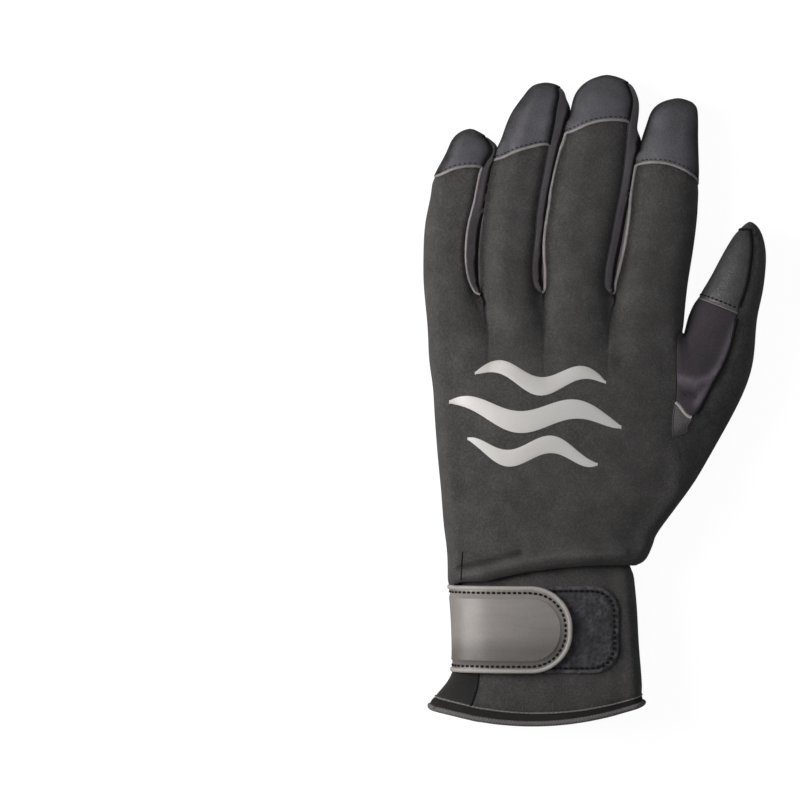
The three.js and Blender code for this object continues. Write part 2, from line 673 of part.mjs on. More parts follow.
function wristStrap() {
  const radius = STRAP_CORNER - STRAP_RIM_WIDTH - LAY_GAP;
  const end = STRAP_END - (STRAP_RIM_WIDTH + LAY_GAP) / CUFF_WIDTH;
  const trim = STRAP_RIM_WIDTH + LAY_GAP;
  const columns = endColumns(0, end, radius, 14).map((across) => {
    const inset = endInset(across, end, radius) + trim;
    const ys = bandRows(STRAP_TOP - inset, STRAP_BOTTOM + inset, 6);
    return { across, ys, liftShare: strapLift(across) };
  });
  addMesh('wrist_strap', slabGeometry(columns, STRAP_LIFT - LAY_GAP, STRAP_THICKNESS), 'strap');
}

// The binding runs along the strap's top edge, round its end and back along the lower edge
function rimPath() {
  const arcStart = STRAP_END - STRAP_CORNER / CUFF_WIDTH;
  const straight = [...Array(13).keys()].map((i) => mix(0, arcStart, i / 12));
  const arc = [...Array(7).keys()].slice(1).map((i) => (i / 6) * (Math.PI / 2));
  const side = (edge, sign) => [
    ...straight.map((across) => ({ across, y: edge, nx: 0, ny: sign })),
    ...arc.map((angle) => ({
      across: arcStart + (Math.sin(angle) * STRAP_CORNER) / CUFF_WIDTH,
      y: edge - sign * STRAP_CORNER * (1 - Math.cos(angle)),
      nx: Math.sin(angle),
      ny: sign * Math.cos(angle),
    })),
  ];
  return [...side(STRAP_TOP, 1), ...side(STRAP_BOTTOM, -1).reverse()];
}

function strapRim() {
  const positions = [];
  const index = [];
  const path = rimPath();
  path.forEach(({ across, y, nx, ny }) => {
    const inner = { across: across - (nx * STRAP_RIM_WIDTH) / CUFF_WIDTH, y: y - ny * STRAP_RIM_WIDTH };
    const low = (STRAP_LIFT - LAY_GAP) * strapLift(across) + LAY_GAP;
    const high = low + STRAP_RIM_THICKNESS;
    positions.push(...cuffPoint(across, y, low).toArray(), ...cuffPoint(across, y, high).toArray());
    positions.push(...cuffPoint(inner.across, inner.y, high).toArray());
    positions.push(...cuffPoint(inner.across, inner.y, low).toArray());
  });
  for (let i = 0; i < path.length - 1; i += 1) {
    for (let k = 0; k < 4; k += 1) {
      const [a, b] = [i * 4 + k, i * 4 + ((k + 1) % 4)];
      index.push(a, b + 4, a + 4, a, b, b + 4);
    }
  }
  const end = (path.length - 1) * 4;
  index.push(0, 2, 1, 0, 3, 2, end, end + 1, end + 2, end, end + 2, end + 3);
  const geometry = new THREE.BufferGeometry();
  geometry.setAttribute('position', new THREE.Float32BufferAttribute(positions, 3));
  geometry.setIndex(index);
  addMesh('strap_rim', geometry, 'rim');
}

loopPatch();
wristStrap();
strapRim();

// The D-ring's wire, a closed sweep: along the bar, up the sides and round the bow
function ringOutline() {
  const inner = RING_HALF_WIDTH - RING_CORNER;
  const points = [-1, -0.5, 0, 0.5].map((t) => [t * inner, 0]);
  const corner = (angle, sign) => [
    sign * (inner + RING_CORNER * Math.sin(angle)),
    RING_CORNER * (1 - Math.cos(angle)),
  ];
  const cornerAngles = [0, 30, 60, 90].map((degrees) => THREE.MathUtils.degToRad(degrees));
  points.push(...cornerAngles.map((angle) => corner(angle, 1)));
  const bowStart = RING_DEPTH - RING_HALF_WIDTH;
  for (let degrees = 0; degrees <= 180; degrees += 15) {
    const angle = THREE.MathUtils.degToRad(degrees);
    points.push([RING_HALF_WIDTH * Math.cos(angle), bowStart + RING_HALF_WIDTH * Math.sin(angle)]);
  }
  points.push(...cornerAngles.slice(1).reverse().map((angle) => corner(angle, -1)));
  return points;
}

function dRing() {
  const outline = ringOutline();
  const sides = 10;
  const positions = [];
  const index = [];
  outline.forEach(([x, d], i) => {
    const before = outline[(i + outline.length - 1) % outline.length];
    const after = outline[(i + 1) % outline.length];
    const length = Math.hypot(after[0] - before[0], after[1] - before[1]);
    const [nx, nd] = [(after[1] - before[1]) / length, -(after[0] - before[0]) / length];
    for (let k = 0; k < sides; k += 1) {
      const angle = (2 * Math.PI * k) / sides;
      const out = RING_WIRE_RADIUS * Math.cos(angle);
      positions.push(x + nx * out, d + nd * out, RING_WIRE_RADIUS * Math.sin(angle));
      const [a, b] = [i * sides + k, i * sides + ((k + 1) % sides)];
      const [c, e] = [b, a].map((v) => (v + sides) % (outline.length * sides));
      index.push(a, c, b, a, e, c);
    }
  });
  const geometry = new THREE.BufferGeometry();
  geometry.setAttribute('position', new THREE.Float32BufferAttribute(positions, 3));
  geometry.setIndex(index);
  const mesh = addMesh('d_ring', geometry, 'ring');
  mesh.position.set(RING_X, RING_BAR_Y, RING_BAR_Z);
  mesh.rotation.x = -Math.asin((RING_BAR_Z - RING_BOW_Z) / RING_DEPTH);
}

// The webbing tab: folded round the bar, with both layers running up under the cuff
function ringTab() {
  const inner = RING_WIRE_RADIUS + TAB_CLEARANCE;
  const outer = inner + TAB_WEBBING;
  const profile = new THREE.Shape();
  const lower = outer - 2 * TAB_WEBBING;
  const joinAngle = Math.asin(lower / outer);
  profile.moveTo(TAB_LENGTH, lower);
  profile.lineTo(TAB_LENGTH, outer);
  profile.lineTo(0, outer);
  profile.absarc(0, 0, outer, Math.PI / 2, 2 * Math.PI + joinAngle, false);
  const bore = new THREE.Path();
  bore.absarc(0, 0, inner, 0, 2 * Math.PI, true);
  profile.holes.push(bore);
  const options = { depth: TAB_WIDTH, bevelEnabled: false, curveSegments: 10 };
  const geometry = new THREE.ExtrudeGeometry(profile, options);
  const mesh = addMesh('ring_tab', geometry, 'tape');
  mesh.rotation.set(Math.PI / 2, Math.PI / 2, 0);
  mesh.position.set(RING_X - TAB_WIDTH / 2, RING_BAR_Y, RING_BAR_Z);
}

dRing();
ringTab();

export default glove;
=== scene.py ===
# %% [markdown]
# # A left-hand diving glove
# The glove lies palm down on a pale floor, with its thumb to the right. It is sewn from flat panels:
# a neoprene back, a leather palm, thin stretch fabric between the fingers, leather caps on the
# fingertips, and a wrist cuff with a strap that closes on a patch of loop pile.
#
# The construction comes as a fixed frame of plain solids. This file dresses it: every panel gets its
# soft shape, its seams, its stitches and its own finish, and stays in the place that its solid holds.

# %% The frame
import math

import bpy
import numpy as np
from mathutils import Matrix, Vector, bvhtree, kdtree, noise


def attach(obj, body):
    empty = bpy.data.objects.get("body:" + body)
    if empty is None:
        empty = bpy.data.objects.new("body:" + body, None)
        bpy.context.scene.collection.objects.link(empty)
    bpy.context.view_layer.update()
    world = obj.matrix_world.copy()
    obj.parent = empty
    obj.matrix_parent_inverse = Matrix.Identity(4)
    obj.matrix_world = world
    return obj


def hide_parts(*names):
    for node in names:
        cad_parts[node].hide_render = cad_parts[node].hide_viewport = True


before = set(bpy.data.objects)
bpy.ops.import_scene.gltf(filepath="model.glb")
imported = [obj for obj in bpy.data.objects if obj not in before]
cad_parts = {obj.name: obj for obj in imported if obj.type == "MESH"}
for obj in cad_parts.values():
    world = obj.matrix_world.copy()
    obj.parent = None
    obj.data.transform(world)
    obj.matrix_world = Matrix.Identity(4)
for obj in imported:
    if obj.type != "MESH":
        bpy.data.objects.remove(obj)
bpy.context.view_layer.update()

MM = 0.001

# %% [markdown]
# ## The camera
# The photograph looks straight down on the glove from far away, so that nothing leans. A long lens from
# 1.5 m above does the same. One pixel of the picture is 0.385 mm on the glove, which fixes the lens.

# %% The camera
PICTURE_PIXELS = 800
MM_PER_PIXEL = 0.385
PICTURE_CENTRE = (-74.5, 0.6)
CAMERA_HEIGHT = 1500
SHARP_HEIGHT = 14
SENSOR_WIDTH = 36

bpy.ops.object.select_all(action="DESELECT")
bpy.ops.object.camera_add(location=Vector((*PICTURE_CENTRE, CAMERA_HEIGHT)) * MM, rotation=(0, 0, 0))
camera = bpy.context.object
camera.name = "camera"
camera.data.sensor_width = SENSOR_WIDTH
camera.data.lens = SENSOR_WIDTH * (CAMERA_HEIGHT - SHARP_HEIGHT) / (PICTURE_PIXELS * MM_PER_PIXEL)
bpy.context.scene.camera = camera
print("lens", round(camera.data.lens, 1), "mm")

# %% [markdown]
# ## The studio
# A product picture of dark cloth needs broad, soft light: a hard lamp would leave the charcoal black on
# one side. One panel stands low on the left and rounds every finger from light to dark, a larger one
# hangs high over the glove, a third at the right lifts the far sides, and the pale world fills the
# shadows. Where the camera sees the floor, it glows nearly white, as in a cut-out picture, but it throws
# back less light than it shows, so the undersides of the fingers stay dark.

# %% Floor and lights
FLOOR_SIZE = 6000
FLOOR_DROP = 0.2

bpy.ops.mesh.primitive_plane_add(size=FLOOR_SIZE * MM, location=(0, 0, -FLOOR_DROP * MM))
floor = bpy.context.object
floor.name = "floor"
bpy.ops.object.transform_apply(location=True, rotation=True, scale=True)


def area_light(name, place, size, watts, colour=(1, 1, 1)):
    """A square soft light at a place in millimetres, turned to the middle of the glove."""
    bpy.ops.object.light_add(type="AREA", location=Vector(place) * MM)
    light = bpy.context.object
    light.name = name
    light.data.size = size * MM
    light.data.energy = watts
    light.data.color = colour
    light.rotation_euler = (-light.location).to_track_quat("-Z", "Y").to_euler()


area_light("left panel", (-430, 60, 320), 340, 3.1, (1, 0.97, 0.94))
area_light("overhead panel", (-150, 450, 1850), 1200, 3.0)
area_light("right panel", (1300, 100, 700), 900, 2.6, (0.94, 0.97, 1))

bpy.context.scene.view_settings.view_transform = "Standard"
world = bpy.data.worlds.new("studio")
bpy.context.scene.world = world
world.use_nodes = True
sky_light = world.node_tree.nodes["Background"].inputs
sky_light["Color"].default_value = (0.95, 0.98, 1, 1)
sky_light["Strength"].default_value = 0.1

# %% [markdown]
# ## Shader helpers
# Every finish here is built from nodes. A few small helpers keep that readable: they add a node and set
# its values, do a sum, map one range of values to another, and make a node group with named sockets.

# %% Node helpers
def set_inputs(tree, item, values):
    """Set or link the inputs of a node, by name or number."""
    for key, value in values.items():
        if isinstance(value, bpy.types.NodeSocket):
            tree.links.new(value, item.inputs[key])
        else:
            item.inputs[key].default_value = value


def add_node(tree, kind, values=None, **settings):
    """Add a node of a kind, and set its properties and inputs."""
    item = tree.nodes.new(kind)
    for key, value in settings.items():
        setattr(item, key, value)
    set_inputs(tree, item, values or {})
    return item


def new_material(name):
    """A material with its node tree and its shader."""
    material = bpy.data.materials.new(name)
    material.use_nodes = True
    return material, material.node_tree, material.node_tree.nodes["Principled BSDF"]


def calculate(tree, operation, *values):
    """The result of a Math node, whose inputs are given in order."""
    return add_node(tree, "ShaderNodeMath", dict(enumerate(values)), operation=operation).outputs["Value"]


def remap(tree, value, source, goal=(0.0, 1.0)):
    """The result of a Map Range node, from one pair of values to another."""
    ends = dict(zip(("From Min", "From Max", "To Min", "To Max"), (*source, *goal)))
    return add_node(tree, "ShaderNodeMapRange", {"Value": value, **ends}).outputs["Result"]


def grouped(tree, group, values=None):
    return add_node(tree, "ShaderNodeGroup", values, node_tree=group)


def start_group(name, inputs, output):
    """A shader node group, its inputs (names and values, None for a vector) and its output."""
    group = bpy.data.node_groups.new(name, "ShaderNodeTree")
    for label, value in inputs.items():
        kind = "NodeSocketVector" if value is None else "NodeSocketFloat"
        socket = group.interface.new_socket(label, in_out="INPUT", socket_type=kind)
        if value is not None:
            socket.default_value = value
    group.interface.new_socket(output, in_out="OUTPUT", socket_type="NodeSocketFloat")
    given = group.nodes.new("NodeGroupInput").outputs
    return group, given, group.nodes.new("NodeGroupOutput").inputs[output]


# %% [markdown]
# ## Shared effects
# Real cloth is never one flat colour. Five effects are shared by all the finishes, each a node group:
# - mottle: soft blotches where dye, dust and handling leave the cloth lighter or darker
# - knit: the fine matt face of neoprene and stretch fabric
# - hide: the cells and creases of grained leather
# - weave: crossing threads that follow the piece's own UV map, for tapes and webbing
# - painted shade: cloth deep between two fingers or under a fold is painted darker, by how hidden it is from
#   the sky, which is stored on its points

# %% Node groups
def mottle_group():
    inputs = {"Vector": None, "Scale": 40.0, "Low": 0.9, "High": 1.1}
    group, given, shade = start_group("mottle", inputs, "Shade")
    cloud = add_node(group, "ShaderNodeTexNoise", {
        "Vector": given["Vector"], "Scale": given["Scale"], "Detail": 5.0, "Roughness": 0.62,
    })
    group.links.new(remap(group, cloud.outputs["Fac"], (0.3, 0.7), (given["Low"], given["High"])), shade)
    return group


def knit_group():
    group, given, height = start_group("knit", {"Vector": None, "Scale": 900.0}, "Height")
    place = {"Vector": given["Vector"], "Scale": given["Scale"]}
    fine = add_node(group, "ShaderNodeTexNoise", {**place, "Detail": 3.0, "Roughness": 0.7})
    loops = add_node(group, "ShaderNodeTexVoronoi", place)
    total = calculate(group, "ADD", fine.outputs["Fac"], loops.outputs["Distance"])
    group.links.new(calculate(group, "MULTIPLY", total, 0.5), height)
    return group


def hide_group():
    group, given, height = start_group("hide", {"Vector": None, "Scale": 700.0}, "Height")
    place = given["Vector"]
    warp = add_node(group, "ShaderNodeTexNoise", {"Vector": place, "Scale": 260.0, "Detail": 2.0})
    bent = add_node(group, "ShaderNodeMix", {"Factor": 0.004, "A": place, "B": warp.outputs["Color"]},
                    data_type="VECTOR")
    cells = add_node(group, "ShaderNodeTexVoronoi", {
        "Vector": bent.outputs["Result"], "Scale": given["Scale"],
    }, feature="DISTANCE_TO_EDGE")
    crease = remap(group, cells.outputs["Distance"], (0.0, 0.16))
    pores = add_node(group, "ShaderNodeTexNoise", {"Vector": place, "Scale": 2400.0, "Detail": 2.0})
    grain = add_node(group, "ShaderNodeMix", {"Factor": 0.25, "A": crease, "B": pores.outputs["Fac"]},
                     data_type="FLOAT")
    group.links.new(grain.outputs["Result"], height)
    return group


def weave_group():
    group, given, height = start_group("weave", {"Vector": None, "Along": 900.0, "Across": 900.0}, "Height")
    parts = add_node(group, "ShaderNodeSeparateXYZ", {"Vector": given["Vector"]}).outputs
    waves = [
        calculate(group, "SINE", calculate(group, "MULTIPLY", parts[axis], given[rate]))
        for axis, rate in (("X", "Along"), ("Y", "Across"))
    ]
    group.links.new(remap(group, calculate(group, "MULTIPLY", *waves), (-1.0, 1.0)), height)
    return group


# Painted shade: the colour darkens with the share of sky that a point's rays found blocked.
def painted_shade_group():
    group, given, shade = start_group("painted_shade", {"Darkest": 0.08}, "Shade")
    shaded = add_node(group, "ShaderNodeAttribute", attribute_name="shaded")
    group.links.new(remap(group, shaded.outputs["Fac"], (0.28, 0.64), (1.0, given["Darkest"])), shade)
    return group


MOTTLE = mottle_group()
PAINTED_SHADE = painted_shade_group()
KNIT = knit_group()
HIDE = hide_group()
WEAVE = weave_group()
print(len(bpy.data.node_groups), "node groups")

# %% [markdown]
# ## Finishes
# One recipe makes all the cloth and leather. Its base colour runs from a dark to a light tone by the
# mottle, and the surface pattern gives a fine relief and shades its own hollows. Near its seams a piece
# is lighter where it is rubbed, as the gussets are, or darkened with painted shade, as the neoprene and
# the caps are. Painted highlights lighten a few fold ridges, and painted shade darkens hidden places.
# What changes from one finish to the next are the numbers.

# %% The finish recipe
HEIGHT_RANGE = (0.2, 0.8)
GLOSS_CHANGE = 0.06
MATT_FROM = 0.6
MATT_SPECULAR, GLOSSY_SPECULAR = 0.2, 0.5


def finish(name, colour, roughness, pattern, scale, relief, blotch=(45.0, 0.88, 1.12), edge=0.25,
           hollow=0.25, sheen=0.0, metallic=0.0, streak=(1, 1, 1)):
    """A cloth or leather material. colour is linear, scale is in cells a metre, relief in metres."""
    material, tree, shader = new_material(name)
    place = add_node(tree, "ShaderNodeTexCoord").outputs
    if pattern == "weave":
        face = grouped(tree, WEAVE, {"Vector": place["UV"], "Along": scale[0], "Across": scale[1]})
    else:
        face = grouped(tree, HIDE if pattern == "hide" else KNIT, {"Vector": place["Object"], "Scale": scale})
    height = face.outputs["Height"]
    streaked = add_node(tree, "ShaderNodeMapping", {"Vector": place["Object"], "Scale": streak})
    shade = grouped(tree, MOTTLE, {
        "Vector": streaked.outputs["Vector"], "Scale": blotch[0], "Low": blotch[1], "High": blotch[2],
    }).outputs["Shade"]
    depth = remap(tree, height, HEIGHT_RANGE, (1.0 - hollow, 1.0 + hollow))
    # The edge value: lighter worn seams on some finishes; on others, shade painted along the seams and on the
    # strap's lower part; highlights painted on fold ridges.
    wear_and_painted_light = add_node(tree, "ShaderNodeAttribute", attribute_name="edge").outputs["Fac"]
    lifted = calculate(tree, "MULTIPLY_ADD", wear_and_painted_light, edge, calculate(tree, "MULTIPLY", shade, depth))
    # Painted shade of hidden places darkens the colour.
    seen = calculate(tree, "MULTIPLY", lifted, grouped(tree, PAINTED_SHADE).outputs["Shade"])
    paint = add_node(tree, "ShaderNodeVectorMath", {0: colour, "Scale": seen}, operation="SCALE")
    gloss = remap(tree, shade, blotch[1:], (min(roughness + GLOSS_CHANGE, 1.0), roughness - GLOSS_CHANGE))
    bump = add_node(tree, "ShaderNodeBump", {"Height": height, "Distance": relief, "Strength": 1.0})
    set_inputs(tree, shader, {
        "Base Color": paint.outputs["Vector"], "Roughness": gloss, "Normal": bump.outputs["Normal"],
        "Sheen Weight": sheen, "Sheen Roughness": 0.5, "Metallic": metallic,
        "Specular IOR Level": MATT_SPECULAR if roughness >= MATT_FROM else GLOSSY_SPECULAR,
    })
    return material


# %% The glove's finishes
FABRIC_FACE = ("knit", 1900.0, 0.0001)
SEAM_FACE = ("knit", 1600.0, 0.00008)
THREAD_FACE = ("knit", 2500.0, 0.00004)
WOVEN_SCALE = (5200.0, 3600.0)
FABRIC_BLOTCH = (60.0, 0.84, 1.16)
SEAM_BLOTCH = (150.0, 0.75, 1.2)
# A negative edge darkens near the seams: shade painted along the seams of the neoprene and the caps, and on
# the strap's lower part.
NEOPRENE = finish("charcoal neoprene", (0.057, 0.055, 0.055), 0.88, "knit", 1300.0, 0.00016,
                  blotch=(110.0, 0.8, 1.2), edge=-0.42, hollow=0.36, sheen=0.08)
CUFF_NEOPRENE = finish("dark cuff neoprene", (0.054, 0.0522, 0.0522), 0.9, "knit", 1300.0, 0.00016,
                       blotch=(110.0, 0.8, 1.2), edge=-0.28, hollow=0.36, sheen=0.08)
STRETCH = finish("purple-grey stretch fabric", (0.066, 0.056, 0.063), 0.9, *FABRIC_FACE,
                 blotch=FABRIC_BLOTCH, edge=0.35, sheen=0.1)
GUSSET = finish("purple-grey gusset fabric", (0.17, 0.155, 0.166), 0.85, *FABRIC_FACE,
                blotch=FABRIC_BLOTCH, edge=0.25, sheen=0.05)
# Its large edge paints a highlight on the crests of the thumb fabric's folds.
THUMB_STRETCH = finish("dark purple stretch fabric", (0.042, 0.0365, 0.044), 0.85, *FABRIC_FACE,
                       blotch=FABRIC_BLOTCH, edge=1.7, sheen=0.1)
CUFF_STRETCH = finish("charcoal stretch fabric", (0.02, 0.0195, 0.02), 0.9, *FABRIC_FACE,
                      blotch=FABRIC_BLOTCH, edge=0.2, sheen=0.1)
PALM = finish("grained palm leather", (0.165, 0.158, 0.156), 0.5, "hide", 820.0, 0.00008,
              blotch=(30.0, 0.9, 1.1), edge=0.12, hollow=0.1)
PAD = finish("finger pad leather", (0.15, 0.149, 0.158), 0.48, "hide", 900.0, 0.00007,
             edge=0.15, hollow=0.1)
THUMB_PAD = finish("dark pad leather", (0.056, 0.055, 0.057), 0.42, "hide", 900.0, 0.00007,
                   blotch=(90.0, 0.72, 1.35), edge=0.1, hollow=0.1)
PATCH_LEATHER = finish("dark patch leather", (0.07, 0.068, 0.07), 0.5, "hide", 820.0, 0.00008,
                       edge=0.1, hollow=0.1)
CAP = finish("blue-grey cap leather", (0.09, 0.089, 0.101), 0.62, "hide", 1100.0, 0.00006,
             blotch=(110.0, 0.82, 1.2), edge=-0.9, hollow=0.12, sheen=0.08)
STRAP = finish("satin strap leather", (0.222, 0.209, 0.199), 0.36, "hide", 1300.0, 0.00003,
               blotch=(60.0, 0.84, 1.14), edge=-0.4, hollow=0.05, streak=(0.3, 1.6, 1))
RIM = finish("pale rim binding", (0.35, 0.333, 0.32), 0.5, "knit", 1300.0, 0.00005,
             blotch=(60.0, 0.92, 1.08), edge=0.0, hollow=0.1)
PILE = finish("dark loop pile", (0.04, 0.039, 0.043), 0.95, "knit", 700.0, 0.0006,
              blotch=(260.0, 0.5, 1.75), edge=1.5, hollow=0.5, sheen=0.35)
TAPE = finish("black woven tape", (0.035, 0.033, 0.034), 0.78, "weave", WOVEN_SCALE, 0.00012,
              blotch=(60.0, 0.85, 1.15), edge=0.2, hollow=0.2)
SIDE_TAPE = finish("grey ribbed tape", (0.115, 0.108, 0.106), 0.75, "weave", WOVEN_SCALE, 0.00014,
                   blotch=(60.0, 0.88, 1.12), edge=0.1, hollow=0.25)
SIDE_SEAM = finish("bright seam thread", (0.38, 0.345, 0.352), 0.7, *SEAM_FACE,
                   blotch=SEAM_BLOTCH, edge=0.0, hollow=0.2)
SEAM = finish("pale seam thread", (0.27, 0.252, 0.256), 0.7, *SEAM_FACE,
              blotch=SEAM_BLOTCH, edge=0.0, hollow=0.2)
DULL_SEAM = finish("dull seam thread", (0.085, 0.077, 0.083), 0.75, *SEAM_FACE,
                   blotch=SEAM_BLOTCH, edge=0.0, hollow=0.2)
PALE_THREAD = finish("pale stitching", (0.2, 0.19, 0.185), 0.6, *THREAD_FACE, edge=0.0)
DARK_THREAD = finish("dark stitching", (0.01, 0.0095, 0.01), 0.9, *THREAD_FACE, edge=0.0)
HEM_TAPE = finish("black hem tape", (0.016, 0.015, 0.016), 0.85, *FABRIC_FACE, edge=0.0)
# The rolled rim is the black hem tape, painted lighter as a highlight on its rounded edge.
HEM_RIM_HIGHLIGHT = finish("rolled hem tape with painted highlight", (0.125, 0.121, 0.121), 0.6, "weave", WOVEN_SCALE, 0.00012,
                 blotch=(60.0, 0.85, 1.15), edge=0.0, hollow=0.2)
HEM_EDGE = finish("pale hem edge", (0.15, 0.143, 0.14), 0.7, *SEAM_FACE,
                  blotch=SEAM_BLOTCH, edge=0.0)
GREY_THREAD = finish("grey stitching", (0.075, 0.072, 0.074), 0.6, *THREAD_FACE, edge=0.0)
LINING = finish("black lining", (0.022, 0.021, 0.022), 0.95, "knit", 1200.0, 0.0001, sheen=0.15)
SILVER = finish("silver print", (0.6, 0.59, 0.585), 0.55, "knit", 1500.0, 0.00002,
                blotch=(30.0, 0.95, 1.05), edge=0.12, hollow=0.03, metallic=0.25)
print(len(bpy.data.materials), "materials")

# %% Floor finish
FLOOR_GLOW = 0.95
FLOOR_SHOWN = 0.14
FLOOR_BOUNCE = 0.4
floor_material, floor_tree, floor_shown = new_material("pale floor")
set_inputs(floor_tree, floor_shown, {
    "Base Color": (FLOOR_SHOWN,) * 3 + (1,), "Roughness": 1.0, "Specular IOR Level": 0.0,
    "Emission Color": (1, 1, 1, 1), "Emission Strength": FLOOR_GLOW,
})
floor_bounce = add_node(floor_tree, "ShaderNodeBsdfDiffuse", {"Color": (FLOOR_BOUNCE,) * 3 + (1,)})
floor_path = add_node(floor_tree, "ShaderNodeLightPath")
floor_mix = add_node(floor_tree, "ShaderNodeMixShader", {
    "Fac": floor_path.outputs["Is Camera Ray"],
    1: floor_bounce.outputs["BSDF"], 2: floor_shown.outputs["BSDF"],
})
set_inputs(floor_tree, floor_tree.nodes["Material Output"], {"Surface": floor_mix.outputs["Shader"]})
floor.data.materials.append(floor_material)
print("floor bounces", FLOOR_BOUNCE, "of the light")

# %% [markdown]
# ## The skin of the glove
# The hand, the fingers and the thumb are one continuous soft form, so they are drawn first as one cage
# of quads from section tables, each row a ring across the hand or round a finger. A primitive and a few
# extrusions could not hold an outline this particular; a cage from tables can, and the panels can be
# cut from it afterwards, as a pattern maker marks a form before cutting cloth. All sizes are in mm.

# %% Section tables
def table(columns, rows):
    return [dict(zip(columns.split(), row)) for row in rows]


def mix(a, b, t):
    return a + (b - a) * t


HAND = table("y_left y_right bow x_left x_right top bottom dip gore corner_right lift_right", [
    (-116.6, -115.2, -6.85, -63.2, 19.2, 29.0, 7.0, 0, 15.5, 0.62, 5.0),
    (-113.0, -112.4, -6.4, -61.3, 18.7, 28.5, 7.0, 0, 14.0, 0.68, 5.0),
    (-105.5, -105.5, -2.5, -54.8, 18.5, 27.8, 6.9, 0, 10.5, 0.76, 5.5),
    (-92.0, -92.0, 0, -52.9, 17.5, 26.8, 4.6, 0, 7.0, 0.76, 6.0),
    (-76.5, -76.5, 0, -54.2, 16.5, 26.2, 2.2, 0, 4.5, 0.76, 6.0),
    (-71.0, -61.3, 3.6, -55.8, 15.5, 26.0, 0.8, 0, 3.5, 0.5, 6.0),
    (-68.3, -58.9, 3.4, -56.2, 19.0, 29.8, 0, 0, 0, 0.5, 6.0),
    (-58.2, -54.8, 2.0, -56.5, 23.0, 30.0, 0, 0, 0, 0.5, 6.0),
    (-47.5, -51.5, 0, -58.0, 24.0, 29.5, 0, 0, 0, 0.5, 6.0),
    (-34.0, -43.0, 0, -59.0, 30.0, 30.5, 0, 0, 0, 0.55, 6.0),
    (-19.5, -33.0, 0, -60.5, 37.0, 31.5, 0, 0, 0, 0.62, 5.0),
    (-3.5, -15.5, 0, -61.5, 34.5, 31.5, 0, 0, 0, 0.72, 3.0),
    (6.5, -3.5, 0, -62.0, 33.5, 31.0, 0, 0, 0, 0.75, 2.2),
    (17.0, 11.0, 0, -63.5, 33.5, 30.0, 0, 0.8, 0, 0.72, 3.0),
    (28.5, 25.5, 0, -64.0, 34.5, 28.5, 0, 2.6, 0, 0.58, 6.0),
])
FINGER_COLUMNS = "y_left y_right y_under bow x_left x_right seam top bottom"
